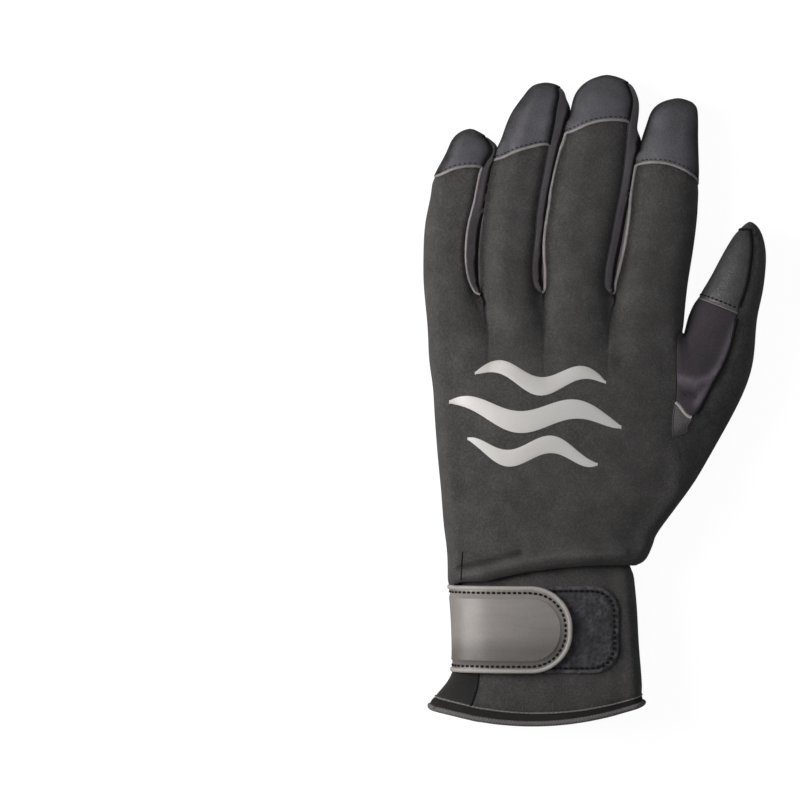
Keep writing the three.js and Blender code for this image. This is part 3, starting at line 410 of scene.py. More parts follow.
FINGERS = {
    "little": {
        "rings": table(FINGER_COLUMNS, [
            (43.0, 42.5, 43.0, 0, -65.6, -43.5, 3.0, 24.0, 0),
            (54.0, 53.5, 54.0, 0, -65.8, -44.0, 5.2, 20.5, 0),
            (66.5, 66.0, 66.5, 0, -65.4, -43.4, 5.2, 19.0, 0),
            (75.0, 74.0, 75.0, 0, -64.0, -42.0, 4.6, 18.5, 0),
            (81.0, 82.0, 81.5, 0, -62.8, -41.2, 3.8, 18.5, 0),
            (85.7, 89.5, 88.0, 2.8, -61.6, -40.0, 3.0, 18.5, 0),
            (94.8, 95.0, 95.0, 0, -57.1, -38.4, 1.8, 17.5, 0.6),
            (100.3, 99.6, 100.0, 0, -54.8, -38.6, 1.6, 15.0, 2.0),
            (103.6, 102.2, 103.0, 0, -52.2, -41.6, 1.2, 12.0, 4.5),
        ]),
        "tip": (-48.0, 105.3), "cap": 5, "insert": 2, "pad": 3,
    },
    "ring": {
        "rings": table(FINGER_COLUMNS, [
            (45.0, 44.0, 44.5, 0, -42.5, -20.5, 3.0, 26.5, 0),
            (58.8, 57.8, 58.3, 0, -43.0, -20.0, 3.0, 22.5, 0),
            (72.2, 71.2, 71.8, 0, -41.2, -18.1, 3.8, 21.0, 0),
            (81.0, 82.0, 81.4, 0, -39.8, -16.4, 3.8, 20.5, 0),
            (92.6, 99.3, 91.4, 2.0, -37.5, -12.7, 4.6, 20.0, 0),
            (106.5, 107.5, 106.8, 0, -33.3, -10.6, 4.8, 19.0, 0),
            (113.2, 113.6, 113.4, 0, -30.0, -10.0, 4.6, 17.5, 0.6),
            (118.0, 118.0, 118.0, 0, -26.6, -10.3, 3.2, 15.0, 2.0),
            (121.8, 121.6, 121.6, 0, -23.6, -12.4, 1.6, 12.0, 4.5),
        ]),
        "tip": (-18.2, 123.3), "cap": 4, "insert": 2, "pad": 4,
    },
    "middle": {
        "rings": table(FINGER_COLUMNS, [
            (45.0, 44.0, 44.5, 0, -18.9, 6.6, 2.8, 27.5, 0),
            (59.0, 58.4, 58.7, 0, -18.9, 9.0, 3.0, 23.5, 0),
            (73.2, 72.8, 73.0, 0, -17.1, 11.9, 3.2, 22.0, 0),
            (81.4, 81.4, 81.4, 0, -16.0, 13.6, 3.1, 21.5, 0),
            (89.3, 90.0, 89.5, 0, -14.7, 14.9, 3.1, 21.0, 0),
            (95.8, 98.5, 97.0, 1.0, -12.7, 15.9, 3.1, 20.5, 0),
            (102.6, 106.8, 104.6, 3.3, -10.6, 17.0, 3.5, 20.5, 0),
            (113.5, 114.2, 113.8, 1.0, -8.3, 17.9, 3.0, 18.5, 0.4),
            (119.2, 119.4, 119.2, 0, -6.5, 16.5, 2.2, 16.0, 1.6),
            (123.4, 123.2, 123.3, 0, -2.8, 13.9, 1.5, 12.5, 4.5),
        ]),
        "tip": (5.2, 126.2), "cap": 6, "insert": 2, "pad": 4,
    },
    "index": {
        "rings": table(FINGER_COLUMNS, [
            (43.8, 41.0, 43.0, 0, 7.9, 36.0, 3.0, 26.5, 0),
            (57.5, 55.5, 56.8, 0, 11.2, 38.4, 3.0, 22.5, 0),
            (70.8, 69.0, 70.3, 0, 13.6, 40.2, 3.0, 21.0, 0),
            (77.0, 75.0, 76.4, 0, 14.4, 40.6, 3.0, 20.5, 0),
            (91.4, 84.9, 82.6, 3.6, 16.7, 40.9, 3.0, 20.0, 0),
            (99.2, 98.2, 98.8, 0, 18.4, 40.6, 2.8, 19.5, 0),
            (106.8, 106.0, 106.5, 0, 20.8, 40.6, 2.6, 18.0, 0.6),
            (112.2, 111.9, 112.1, 0, 22.8, 40.4, 2.2, 15.5, 2.0),
            (115.4, 115.0, 115.2, 0, 26.2, 39.2, 1.6, 12.0, 4.5),
        ]),
        "tip": (33.4, 117.2), "cap": 4, "insert": 2, "pad": 4,
    },
}
THUMB = table("x_inner y_inner x_outer y_outer seam top bottom", [
    (35.0, 26.4, 41.2, -26.4, 0.56, 28.0, 0.4),
    (35.3, 27.2, 49.5, -12.5, 0.57, 27.0, 0.6),
    (36.0, 29.2, 57.7, 3.3, 0.6, 25.5, 0.8),
    (37.2, 33.3, 61.8, 16.7, 0.62, 24.5, 0.8),
    (40.3, 39.8, 62.9, 30.6, 0.64, 23.5, 0.8),
    (44.6, 46.8, 65.2, 40.6, 0.64, 22.8, 0.8),
    (48.2, 53.6, 66.7, 50.6, 0.62, 21.5, 1.4),
    (52.7, 61.6, 66.8, 59.0, 0.56, 19.0, 3.0),
    (56.2, 66.4, 64.9, 65.8, 0.45, 15.5, 6.0),
])
THUMB_TIP = (60.8, 69.6)
PATCH_CORNERS = ((30.9, 1.1), (37.0, -8.5), (34.5, -10.4), (29.6, -13.2))
FINGER_NAMES = list(FINGERS)
print(len(HAND), "hand rows,", sum(len(f["rings"]) for f in FINGERS.values()), "finger rings")

# %% Rows of the hand
CORNER_LEFT = 0.5
LIFT_LEFT = 6.0
TOP_SHAPE = 2.6
FLAT_SHARE = 0.72
SIDE_HEIGHT = 0.48
HAND_CORNER_INSET = 2.5
DIP_BESIDE = 0.35
ACROSS_FINGER = (0, 0.25, 0.5, 0.75, 1)

cage = {"points": [], "quads": [], "panels": []}


def add_point(x, y, z):
    cage["points"].append((x, y, z))
    return len(cage["points"]) - 1


def add_quad(corners, panel):
    cage["quads"].append(corners)
    cage["panels"].append(panel)


def hand_y(row, across):
    return mix(row["y_left"], row["y_right"], across) + row["bow"] * (1 - (2 * across - 1) ** 2)


def hand_top(row, across):
    half = (row["top"] - row["bottom"]) / 2
    corner = CORNER_LEFT if across < 0.5 else row["corner_right"]
    return row["bottom"] + half * (2 - (1 - corner) * abs(2 * across - 1) ** TOP_SHAPE)


def hand_bottom(row, across):
    out = abs(2 * across - 1)
    lift = LIFT_LEFT if across < 0.5 else row["lift_right"]
    beyond = max(out - FLAT_SHARE, 0) / (1 - FLAT_SHARE)
    return row["bottom"] + lift * beyond ** 2


root_columns = [
    mix(FINGERS[name]["rings"][0]["x_left"], FINGERS[name]["rings"][0]["x_right"], t)
    for name in FINGER_NAMES
    for t in ACROSS_FINGER
]
LAST_COLUMN = len(root_columns) - 1


def column_shares(row):
    """Places of a row's points across the hand, following the roots of the fingers."""
    width = row["x_right"] - row["x_left"]
    first = HAND_CORNER_INSET / width
    span = root_columns[-1] - root_columns[0]
    even = [(x - root_columns[0]) / span for x in root_columns]
    if row["gore"] == 0:
        return [mix(first, 1 - first, e) for e in even]
    seam = row["gore"] / width
    return [first] + [mix(seam, 1 - first, (e - even[1]) / (1 - even[1])) for e in even[1:]]


def dip_at(column):
    place = column % len(ACROSS_FINGER)
    at_crotch = (place == 4 and column < LAST_COLUMN) or (place == 0 and column > 0)
    beside = (place == 3 and column < LAST_COLUMN - 1) or (place == 1 and column > 1)
    return 1 if at_crotch else DIP_BESIDE if beside else 0


def hand_ring(row):
    shares = column_shares(row)
    side = mix(row["bottom"], row["top"], SIDE_HEIGHT)

    def point(across, z):
        return add_point(mix(row["x_left"], row["x_right"], across), hand_y(row, across), z)

    return {
        "top": [point(w, hand_top(row, w) - row["dip"] * dip_at(j)) for j, w in enumerate(shares)],
        "right": point(1, side),
        "bottom": [point(w, hand_bottom(row, w)) for w in shares],
        "left": point(0, side),
    }


# %% Rings of the fingers and the thumb
TOP_ROUND = 2.4
BOTTOM_ROUND = 3.4
LEFT_SEAMS = {"ring": 0.4, "middle": 1.0, "index": 1.0}
OUTER_SEAM = 3.0
THUMB_INSET = 2.0
FINGER_UNDERSIDE_INSET = 3.0
UNDERSIDE_INSET_SHARE = 0.175
OUTER_POINT = 5
UNDER_POINTS = (10, 9, 8, 7, 6)
INNER_POINT = 11


def tube_ring(start, end, under, bow, insets, seam_share, top, bottom):
    """Twelve points round a finger: five over the top, a side, five under it, and the other side."""
    centre_z = mix(bottom, top, SIDE_HEIGHT)
    width = math.dist(start, end)
    low, high = insets[0] / width, 1 - insets[1] / width
    middle = (low + high) / 2 if seam_share is None else seam_share
    shares = (low, (low + middle) / 2, middle, (middle + high) / 2, high)

    def height(t, reach, power):
        return reach * (1 - abs(2 * t - 1) ** power) ** (1 / power)

    ring = []
    for t in shares:
        y = mix(start[1], end[1], t) + bow * (1 - (2 * t - 1) ** 2)
        z = centre_z + height(t, top - centre_z, TOP_ROUND)
        ring.append(add_point(mix(start[0], end[0], t), y, z))
    sides = [edge[1] if under is None else (edge[1] + under) / 2 for edge in (end, start)]
    ring.append(add_point(end[0], sides[0], centre_z))
    inset = min(FINGER_UNDERSIDE_INSET, width * UNDERSIDE_INSET_SHARE) / width
    for share in ACROSS_FINGER:
        t = mix(1 - inset, inset, share)
        y = mix(start[1], end[1], t) if under is None else under
        z = centre_z - height(t, centre_z - bottom, BOTTOM_ROUND)
        ring.append(add_point(mix(start[0], end[0], t), y, z))
    ring.append(add_point(start[0], sides[1], centre_z))
    return ring


def finger_ring(name, ring):
    outer_seam = min(OUTER_SEAM, ring["seam"] + 1)
    insets = (LEFT_SEAMS.get(name, outer_seam), ring["seam"])
    start = (ring["x_left"], ring["y_left"])
    end = (ring["x_right"], ring["y_right"])
    return tube_ring(start, end, ring["y_under"], ring["bow"], insets, None, ring["top"], ring["bottom"])


def thumb_ring(ring):
    start = (ring["x_inner"], ring["y_inner"])
    end = (ring["x_outer"], ring["y_outer"])
    insets = (THUMB_INSET, THUMB_INSET)
    return tube_ring(start, end, None, 0, insets, ring["seam"], ring["top"], ring["bottom"])


def add_band(near, far, panel_of):
    for k, point in enumerate(near):
        after = (k + 1) % len(near)
        add_quad((point, near[after], far[after], far[k]), panel_of(k))


def add_tip(ring, tip, upper_panel, lower_panel):
    """A rounded end on a finger's last ring: a grid of four by two quads."""
    upper = ring[:5]
    lower = [ring[k] for k in UNDER_POINTS]
    ends = [cage["points"][ring[INNER_POINT]], cage["points"][ring[OUTER_POINT]]]
    centre = [ring[INNER_POINT]]
    for t in (0.25, 0.5, 0.75):
        bulge = 1 - (2 * t - 1) ** 2
        x = mix(mix(ends[0][0], ends[1][0], t), tip[0], bulge * 0.5)
        y = mix(mix(ends[0][1], ends[1][1], t), tip[1], 0.4 + 0.6 * bulge)
        centre.append(add_point(x, y, mix(ends[0][2], ends[1][2], t)))
    centre.append(ring[OUTER_POINT])
    for j in range(4):
        add_quad((upper[j], upper[j + 1], centre[j + 1], centre[j]), upper_panel)
        add_quad((centre[j], centre[j + 1], lower[j + 1], lower[j]), lower_panel)


# %% [markdown]
# ## Which panel a quad belongs to
# The pattern follows the real glove. The neoprene back runs up all the fingers and round the outside of
# the thumb; a fabric gusset lies between each two fingers; the palm, the joint inserts and the tip pads
# follow each other under the fingers. Beyond the cap's seam, cap and tip pad wrap a tip's left side.

# %% The pattern
GUSSET_RIGHT = {"little": "gusset_little_ring", "ring": "gusset_ring_middle", "middle": "gusset_middle_index"}
GUSSET_LEFT = {"ring": "gusset_little_ring", "middle": "gusset_ring_middle", "index": "gusset_middle_index"}
GUSSETS = sorted(GUSSET_RIGHT.values())
FOLD_ROW = 5
PALM_EDGE_ROW = 11
THUMB_ROWS = (10, 14)
THUMB_PAD_RING = 5
THUMB_TOP_SEAM = 2
THUMB_UNDER_SEAM = 8


def finger_panel(name, band, k):
    finger = FINGERS[name]
    back = f"tip_cap_{name}" if band >= finger["cap"] else "back_panel"
    if k < OUTER_POINT - 1:
        return back
    if k <= OUTER_POINT:
        return GUSSET_RIGHT.get(name, back)
    if k >= INNER_POINT - 1 and band < finger["cap"]:
        return GUSSET_LEFT.get(name, back)
    if k == INNER_POINT or name == "little" and k > UNDER_POINTS[0]:
        return back
    if band >= finger["pad"]:
        return f"tip_pad_{name}"
    return f"finger_insert_{name}" if band >= finger["insert"] else "palm_panel"


def thumb_panel(band, k):
    if THUMB_TOP_SEAM <= k < THUMB_UNDER_SEAM:
        return "thumb_base_patch" if band == 0 and k == THUMB_TOP_SEAM else "back_panel"
    return "thumb_tip_pad" if band >= THUMB_PAD_RING else "thumb_insert"


def hand_panel(band, side, column=None):
    if band == 0:
        return "hem_binding"
    if band < FOLD_ROW and (side == "left" or column == 0):
        return "wrist_gusset"
    if side == "bottom":
        return "palm_panel" if band >= PALM_EDGE_ROW else "cuff_underside"
    return "cuff_back" if band < FOLD_ROW else "back_panel"


def add_hand_band(near, far, band):
    for j in range(LAST_COLUMN):
        top = (near["top"][j], near["top"][j + 1], far["top"][j + 1], far["top"][j])
        low = (near["bottom"][j + 1], near["bottom"][j], far["bottom"][j], far["bottom"][j + 1])
        add_quad(top, hand_panel(band, "top", j))
        add_quad(low, hand_panel(band, "bottom", j))
    if not THUMB_ROWS[0] <= band < THUMB_ROWS[1]:
        upper = (near["top"][-1], near["right"], far["right"], far["top"][-1])
        lower = (near["right"], near["bottom"][-1], far["bottom"][-1], far["right"])
        add_quad(upper, hand_panel(band, "right"))
        add_quad(lower, hand_panel(band, "right"))
    lower = (near["bottom"][0], near["left"], far["left"], far["bottom"][0])
    upper = (near["left"], near["top"][0], far["top"][0], far["left"])
    add_quad(lower, hand_panel(band, "left"))
    add_quad(upper, hand_panel(band, "left"))


# %% The whole cage
hand_rings = [hand_ring(row) for row in HAND]
finger_rings = {name: [finger_ring(name, ring) for ring in FINGERS[name]["rings"]] for name in FINGER_NAMES}
roots = [finger_rings[name][0] for name in FINGER_NAMES]
hand_rings.append({
    "top": [k for ring in roots for k in ring[:5]],
    "right": roots[3][OUTER_POINT],
    "bottom": [ring[k] for ring in roots for k in UNDER_POINTS],
    "left": roots[0][INNER_POINT],
})
for band in range(len(hand_rings) - 1):
    add_hand_band(hand_rings[band], hand_rings[band + 1], band)
for name, rings in finger_rings.items():
    for band in range(len(rings) - 1):
        add_band(rings[band], rings[band + 1], lambda k: finger_panel(name, band, k))
    add_tip(rings[-1], FINGERS[name]["tip"], f"tip_cap_{name}", f"tip_pad_{name}")
for left, right, name in zip(roots, roots[1:], FINGER_NAMES):
    gusset = GUSSET_RIGHT[name]
    add_quad((left[OUTER_POINT - 1], right[0], right[INNER_POINT], left[OUTER_POINT]), gusset)
    add_quad((left[OUTER_POINT], right[INNER_POINT], right[INNER_POINT - 1], left[OUTER_POINT + 1]), gusset)
thumb_rows = hand_rings[THUMB_ROWS[1]:THUMB_ROWS[0] - 1:-1]
thumb_root = [row["top"][-1] for row in thumb_rows] + [thumb_rows[4]["right"]]
thumb_root += [row["bottom"][-1] for row in thumb_rows[::-1]] + [thumb_rows[0]["right"]]
thumb_rings = [thumb_root] + [thumb_ring(ring) for ring in THUMB]
for band in range(len(thumb_rings) - 1):
    add_band(thumb_rings[band], thumb_rings[band + 1], lambda k: thumb_panel(band, k))
add_tip(thumb_rings[-1], THUMB_TIP, "back_panel", "back_panel")
patch_points = (thumb_root[2], thumb_rings[1][2], thumb_rings[1][3], thumb_root[3])
for point, (x, y) in zip(patch_points, PATCH_CORNERS):
    cage["points"][point] = (x, y, cage["points"][point][2])
PANELS = sorted(set(cage["panels"]))
used_points = np.unique(cage["quads"])
cage["points"] = np.array(cage["points"])[used_points]
cage["quads"] = np.searchsorted(used_points, cage["quads"])
print(len(cage["points"]), "cage points,", len(cage["quads"]), "quads,", len(PANELS), "panels")

# %% [markdown]
# ## A smooth skin through the measured points
# Catmull-Clark subdivision turns a cage into a smooth surface, but the surface shrinks inside its cage,
# so fingers measured in the photograph would come out too thin. The remedy is to swell the cage first.
# Where each point of the cage lands on the smooth surface is a weighted mean of it and its neighbours,
# so solving that set of equations gives the cage whose smooth surface runs through every measured point.

# %% Fitting the cage
def limit_weights(count, quads):
    """The matrix that takes cage points to their places on the smooth surface."""
    neighbours = [set() for _ in range(count)]
    corners = [[] for _ in range(count)]
    uses = {}
    for quad in quads:
        for k in range(4):
            here, after, across = quad[k], quad[(k + 1) % 4], quad[(k + 2) % 4]
            neighbours[here].add(after)
            neighbours[after].add(here)
            corners[here].append(across)
            edge = (min(here, after), max(here, after))
            uses[edge] = uses.get(edge, 0) + 1
    rim = {}
    for (a, b), number in uses.items():
        if number == 1:
            rim.setdefault(a, []).append(b)
            rim.setdefault(b, []).append(a)
    weights = np.zeros((count, count))
    for i in range(count):
        if i in rim:
            weights[i, i] = 4 / 6
            weights[i, rim[i]] = 1 / 6
            continue
        n = len(neighbours[i])
        whole = n * (n + 5)
        weights[i, i] = n * n / whole
        weights[i, list(neighbours[i])] += 4 / whole
        for j in corners[i]:
            weights[i, j] += 1 / whole
    return weights


FIT_STEPS = 5
target = cage["points"]
weights = limit_weights(len(target), cage["quads"])
fitted = target.copy()
for _ in range(FIT_STEPS):
    fitted += target - weights @ fitted
print("largest miss after fitting", round(float(np.abs(target - weights @ fitted).max()), 3), "mm")

# %% Subdividing
SKIN_LEVELS = 3


def new_object(name, points, faces):
    """A mesh object at the origin, from points in millimetres."""
    mesh = bpy.data.meshes.new(name)
    mesh.from_pydata((np.asarray(points) * MM).tolist(), [], [tuple(face) for face in faces])
    obj = bpy.data.objects.new(name, mesh)
    bpy.context.scene.collection.objects.link(obj)
    return obj


def make_active(obj):
    if bpy.context.object and bpy.context.object.mode != "OBJECT":
        bpy.ops.object.mode_set(mode="OBJECT")
    bpy.ops.object.select_all(action="DESELECT")
    obj.select_set(True)
    bpy.context.view_layer.objects.active = obj


def apply_modifier(obj, kind, **settings):
    make_active(obj)
    modifier = obj.modifiers.new(kind.lower(), kind)
    for key, value in settings.items():
        setattr(modifier, key, value)
    bpy.ops.object.modifier_apply(modifier=modifier.name)


def read_values(items, key, width=1, kind=int):
    """One property of all the points, edges, corners or faces of a mesh."""
    values = np.empty(len(items) * width, kind)
    items.foreach_get(key, values)
    return values.reshape(-1, width) if width > 1 else values


def mesh_points(obj):
    return read_values(obj.data.vertices, "co", 3, float) / MM


def put_points(obj, points):
    obj.data.vertices.foreach_set("co", (np.asarray(points) * MM).ravel())
    obj.data.update()


form = new_object("form", fitted, cage["quads"])
form.data.polygons.foreach_set("material_index", [PANELS.index(name) for name in cage["panels"]])
apply_modifier(form, "SUBSURF", levels=SKIN_LEVELS, render_levels=SKIN_LEVELS, use_limit_surface=True)
skin = mesh_points(form)
faces = read_values(form.data.loops, "vertex_index").reshape(-1, 4)
owner = read_values(form.data.polygons, "material_index")
bpy.data.objects.remove(form)
print(len(skin), "skin points,", len(faces), "skin quads")

# %% [markdown]
# ## Relaxing the skin
# The fit leaves small corners at the fingertips and crowded points at the roots of the fingers. Real
# cloth can't hold either, so every point is drawn a little towards its neighbours, a few times over.
# The same averaging later blends other shifts softly into the skin round them.

# %% Relaxing
RELAX_STEPS = 14

face_edges = np.sort(np.stack([faces, np.roll(faces, -1, axis=1)], axis=2).reshape(-1, 2), axis=1)
edges, uses = np.unique(face_edges, axis=0, return_counts=True)
degree = np.bincount(edges.ravel(), minlength=len(skin))
hem_edges = edges[uses == 1]
at_hem = np.zeros(len(skin), bool)
at_hem[hem_edges] = True


def spread(values, steps, share=0.5):
    """Average each point's values with its neighbours'; the open hem stays as it is."""
    for _ in range(steps):
        total = np.zeros_like(values)
        np.add.at(total, edges[:, 0], values[edges[:, 1]])
        np.add.at(total, edges[:, 1], values[edges[:, 0]])
        mean = total / (degree[:, None] if values.ndim > 1 else degree)
        blended = mix(values, mean, share)
        blended[at_hem] = values[at_hem]
        values = blended
    return values


skin = spread(skin, RELAX_STEPS)
print("lowest point after relaxing", round(float(skin[:, 2].min()), 2), "mm")

# %% [markdown]
# ## Seams
# A seam runs wherever two panels meet. Finding those edges in the smooth skin gives every seam as a
# chain of points, which later carries its groove, its welt and its stitches.

# %% Seam lines
def point_normals(points, quads):
    a, b, c, d = (points[quads[:, k]] for k in range(4))
    cross = np.cross(c - a, d - b)
    normals = np.zeros_like(points)
    for k in range(4):
        np.add.at(normals, quads[:, k], cross)
    return normals / np.linalg.norm(normals, axis=1, keepdims=True)


def border_edges():
    """Edges between two panels, as {(panel, panel): [(point, point), ...]}."""
    order = np.lexsort((face_edges[:, 1], face_edges[:, 0]))
    ends, panel = face_edges[order], np.repeat(owner, 4)[order]
    twins = np.flatnonzero((ends[1:] == ends[:-1]).all(axis=1) & (panel[1:] != panel[:-1]))
    found = {}
    for i in twins:
        pair = tuple(sorted((PANELS[panel[i]], PANELS[panel[i + 1]])))
        found.setdefault(pair, []).append(tuple(ends[i]))
    return found


def chains(edges):
    """Join edges end to end into lists of point numbers."""
    links = {}
    for a, b in edges:
        links.setdefault(a, []).append(b)
        links.setdefault(b, []).append(a)
    left = {tuple(sorted(edge)) for edge in edges}
    found = []
    while left:
        open_ends = [p for edge in left for p in edge
                     if sum(tuple(sorted((p, q))) in left for q in links[p]) == 1]
        here = min(open_ends) if open_ends else min(left)[0]
        chain = [here]
        while True:
            steps = [q for q in links[here] if tuple(sorted((here, q))) in left]
            if not steps:
                break
            left.remove(tuple(sorted((here, steps[0]))))
            here = steps[0]
            chain.append(here)
        found.append(chain)
    return found


seams = border_edges()
seam_chains = {pair: chains(edges) for pair, edges in seams.items()}
print(len(seams), "seams")

# %% Distance to the nearest seam
SEAM_SAMPLES = 3


def point_tree(points):
    """A tree that finds the nearest of many points."""
    tree = kdtree.KDTree(len(points))
    for i, point in enumerate(points):
        tree.insert(point, i)
    tree.balance()
    return tree


seam_points = [
    mix(skin[a], skin[b], k / SEAM_SAMPLES)
    for edges in seams.values()
    for a, b in edges
    for k in range(SEAM_SAMPLES)
]
seam_tree = point_tree(seam_points)
seam_distance = np.array([seam_tree.find(point)[2] for point in skin])
print("furthest from a seam", round(float(seam_distance.max()), 1), "mm")

# %% [markdown]
# ## Folds and softness
# Lying cloth keeps traces of the hand. Three things shape the surface along its own normal: each panel
# sinks towards its seams, so it looks filled between them; named folds press lines into the back and
# the palm; and a slow wave keeps the large faces from being perfectly even.

# %% Shaping the skin
PILLOW_DEPTH = 0.25
PILLOW_WIDTH = 2.2
WAVE_SIZE = 26.0
WAVE_HEIGHT = 0.3

BACK_FOLDS = [
    ([(-52, -63.4), (-42, -61.2), (-29, -57.6)], 2.2, -1.6),
    ([(-50, -66.4), (-33, -61.9), (-15, -58.7), (11, -57.6)], 2.2, 1.1),
    ([(-20, -55.5), (0, -54.5), (16, -55.5)], 2.6, -0.5),
    ([(-46, 40), (-41, 30), (-39, 18)], 3.6, -0.7),
    ([(-20, 42), (-18, 30), (-16, 16)], 3.6, -0.8),
    ([(7, 40), (8.5, 28), (10, 14)], 3.6, -0.8),
    ([(30, -30), (27, -8), (30, 14)], 4.5, -0.4),
]
PALM_FOLDS = [
    ([(-58, 44), (-45, 41), (-30, 44)], 2.4, -0.5),
    ([(-34, 46), (-22, 43), (-6, 45)], 2.4, -0.5),
    ([(-10, 45), (6, 42), (30, 42)], 2.4, -0.5),
    ([(-50, 8), (-20, 4), (12, -8)], 5.0, -0.35),
    ([(24, 16), (18, -8), (22, -34)], 5.0, -0.45),
]
THUMB_FOLDS = [
    ([(54.2, 29.5), (51.6, 22), (48.4, 14.5), (44.2, 7), (39.0, -1)], 1.4, 0.7),
    ([(32.5, 8.7), (38.4, 6.8), (44.0, 9.0), (47.5, 12.5)], 1.3, 0.8),
    ([(33.5, 3.4), (38, 2.0)], 2.0, -0.7),
]


def line_distance(points, line):
    """Distance of points from a line of straight steps, seen along Z."""
    best = np.full(len(points), 1e9)
    for start, end in zip(line, line[1:]):
        start, end = np.array(start), np.array(end)
        along = end - start
        t = np.clip((points[:, :2] - start) @ along / (along @ along), 0, 1)
        best = np.minimum(best, np.linalg.norm(points[:, :2] - start - t[:, None] * along, axis=1))
    return best


def smooth_step(low, high, values):
    t = np.clip((values - low) / (high - low), 0, 1)
    return t * t * (3 - 2 * t)


def bell(distance, width):
    """1 at no distance, falling softly to 0 beyond the width."""
    return np.exp(-((distance / width) ** 2))


def on_panel(*names):
    """1 on the points of the named panels, 0 on all others."""
    mask = np.zeros(len(skin))
    mask[faces[np.isin(owner, [PANELS.index(name) for name in names])]] = 1
    return mask


print(len(BACK_FOLDS) + len(PALM_FOLDS) + len(THUMB_FOLDS), "named folds")

# %% [markdown]
# ## Fingers that touch
# The empty glove's fingers lean on each other. From every point on the side of a finger a ray looks
# across for the next finger, and both sides swell until only a hair's breadth is left between them.
# The swelling ends at the notches, where two tips part. The gap then sways a little from side to side,
# so that no straight line of sight passes through it, and its walls are painted near black as shade.

# %% Fingers that touch
FINGER_GAP = 0.3
TOUCH_REACH = 4.2
TOUCH_FADE = 3.4
TOUCH_LEAN = (0.3, 0.75)
SWAY = 0.5
SWAY_PERIOD = 13.0
SWAY_LEVEL = 7.0
NOTCHES = np.array([(-38.0, 94.5), (-9.0, 110.5), (17.5, 98.5)])
NOTCH_FADE = 7.0
GAP_SHADE_LEAN = (0.5, 0.76)
RAY_START = 0.05
beside_gap = spread(on_panel(*GUSSETS), 10) > 0.02
for _ in range(3):
    normals = point_normals(skin, faces)
    skin_tree = bvhtree.BVHTree.FromPolygons(skin.tolist(), faces.tolist())
    push = np.zeros(len(skin))
    near = np.zeros(len(skin))
    gap_shade = np.zeros(len(skin))
    for i in np.flatnonzero(beside_gap & (np.abs(normals[:, 0]) > TOUCH_LEAN[0])):
        side = Vector((math.copysign(1, normals[i, 0]), 0, 0))
        far = skin_tree.ray_cast(Vector(skin[i]) + side * RAY_START, side, TOUCH_REACH)[3]
        if far is not None:
            near[i] = 1 - smooth_step(TOUCH_FADE, TOUCH_REACH, far)
            near[i] *= smooth_step(*TOUCH_LEAN, abs(normals[i, 0]))
            notch_y = NOTCHES[np.abs(NOTCHES[:, 0] - skin[i, 0]).argmin(), 1]
            near[i] *= 1 - smooth_step(notch_y, notch_y + NOTCH_FADE, skin[i, 1])
            # Painted shade: the gap's walls are darkened near black.
            gap_shade[i] = near[i] * smooth_step(*GAP_SHADE_LEAN, abs(normals[i, 0]))
            push[i] = side.x * max(far - FINGER_GAP, 0) / 2 * near[i]
    skin[:, 0] += spread(push, 4)
    print("finger sides swell by up to", round(float(np.abs(push).max()), 2), "mm")
skin[:, 0] += SWAY * spread(near, 6) * np.sin(2 * math.pi * (skin[:, 2] - SWAY_LEVEL) / SWAY_PERIOD)

# %% [markdown]
# ## The back hangs over the cuff
# Behind the knuckles' bulge the back ends in a soft lip that overhangs the narrower cuff. The lip's
# points move towards the wrist and a little up, and the cuff beside the seam sinks under it.

# %% The back hangs over the cuff
FOLD_REACH = 2.2
FOLD_LIFT = 1.1
CUFF_SINK = 1.4
FOLD_FADE = (-54.0, -40.0)
FOLD_LEAST = 0.12
LIP_FROM, LIP_TO = (0, 1.8), (3, 11)
CUFF_SINK_TO = 6
fold_tree = point_tree([mix(skin[a], skin[b], 0.5) for a, b in seams[("back_panel", "cuff_back")]])
fold_distance = np.array([fold_tree.find(point)[2] for point in skin])
over = on_panel("back_panel") * smooth_step(*LIP_FROM, fold_distance)
over *= 1 - smooth_step(*LIP_TO, fold_distance)
over *= FOLD_LEAST + (1 - FOLD_LEAST) * smooth_step(*FOLD_FADE, skin[:, 0])
under = on_panel("cuff_back") * (1 - smooth_step(0, CUFF_SINK_TO, fold_distance))
skin[:, 1] -= FOLD_REACH * over
skin = skin + normals * (FOLD_LIFT * over - CUFF_SINK * under)[:, None]
print(int((over > 0.5).sum()), "points of the lip hang over")

# %% Pillows, folds and waves
FOLD_HIGHLIGHT_WIDTH = 1.2
RIDGE_WIDTH = 1.6
UPWARD = 0.3
normals = point_normals(skin, faces)
depth = -PILLOW_DEPTH * bell(seam_distance, PILLOW_WIDTH)
for folds, side in ((BACK_FOLDS, 1), (THUMB_FOLDS, 1), (PALM_FOLDS, -1)):
    facing = np.clip(normals[:, 2] * side, 0, 1)
    for line, width, height in folds:
        depth += facing * height * bell(line_distance(skin, line), width)
depth += [WAVE_HEIGHT * noise.noise(Vector(point) / WAVE_SIZE) for point in skin]
skin = skin + normals * depth[:, None]
skin[:, 2] = np.maximum(skin[:, 2], 0.0)
normals = point_normals(skin, faces)
skin_tree = bvhtree.BVHTree.FromPolygons(skin.tolist(), faces.tolist())
# Painted highlight: the crests of the thumb fabric's folds are made lighter.
wear_and_painted_light = np.zeros(len(skin))
for line, width, _ in THUMB_FOLDS[:2]:
    near_fold = on_panel("thumb_insert") * bell(line_distance(skin, line), FOLD_HIGHLIGHT_WIDTH * width)
    wear_and_painted_light = np.maximum(wear_and_painted_light, near_fold)
# Painted highlight: the ridge of the wrist fold is made lighter.
ridge_highlight = bell(line_distance(skin, BACK_FOLDS[1][0]), RIDGE_WIDTH) * (normals[:, 2] > UPWARD)
print("folds move the skin by up to", round(float(np.abs(depth).max()), 2), "mm")

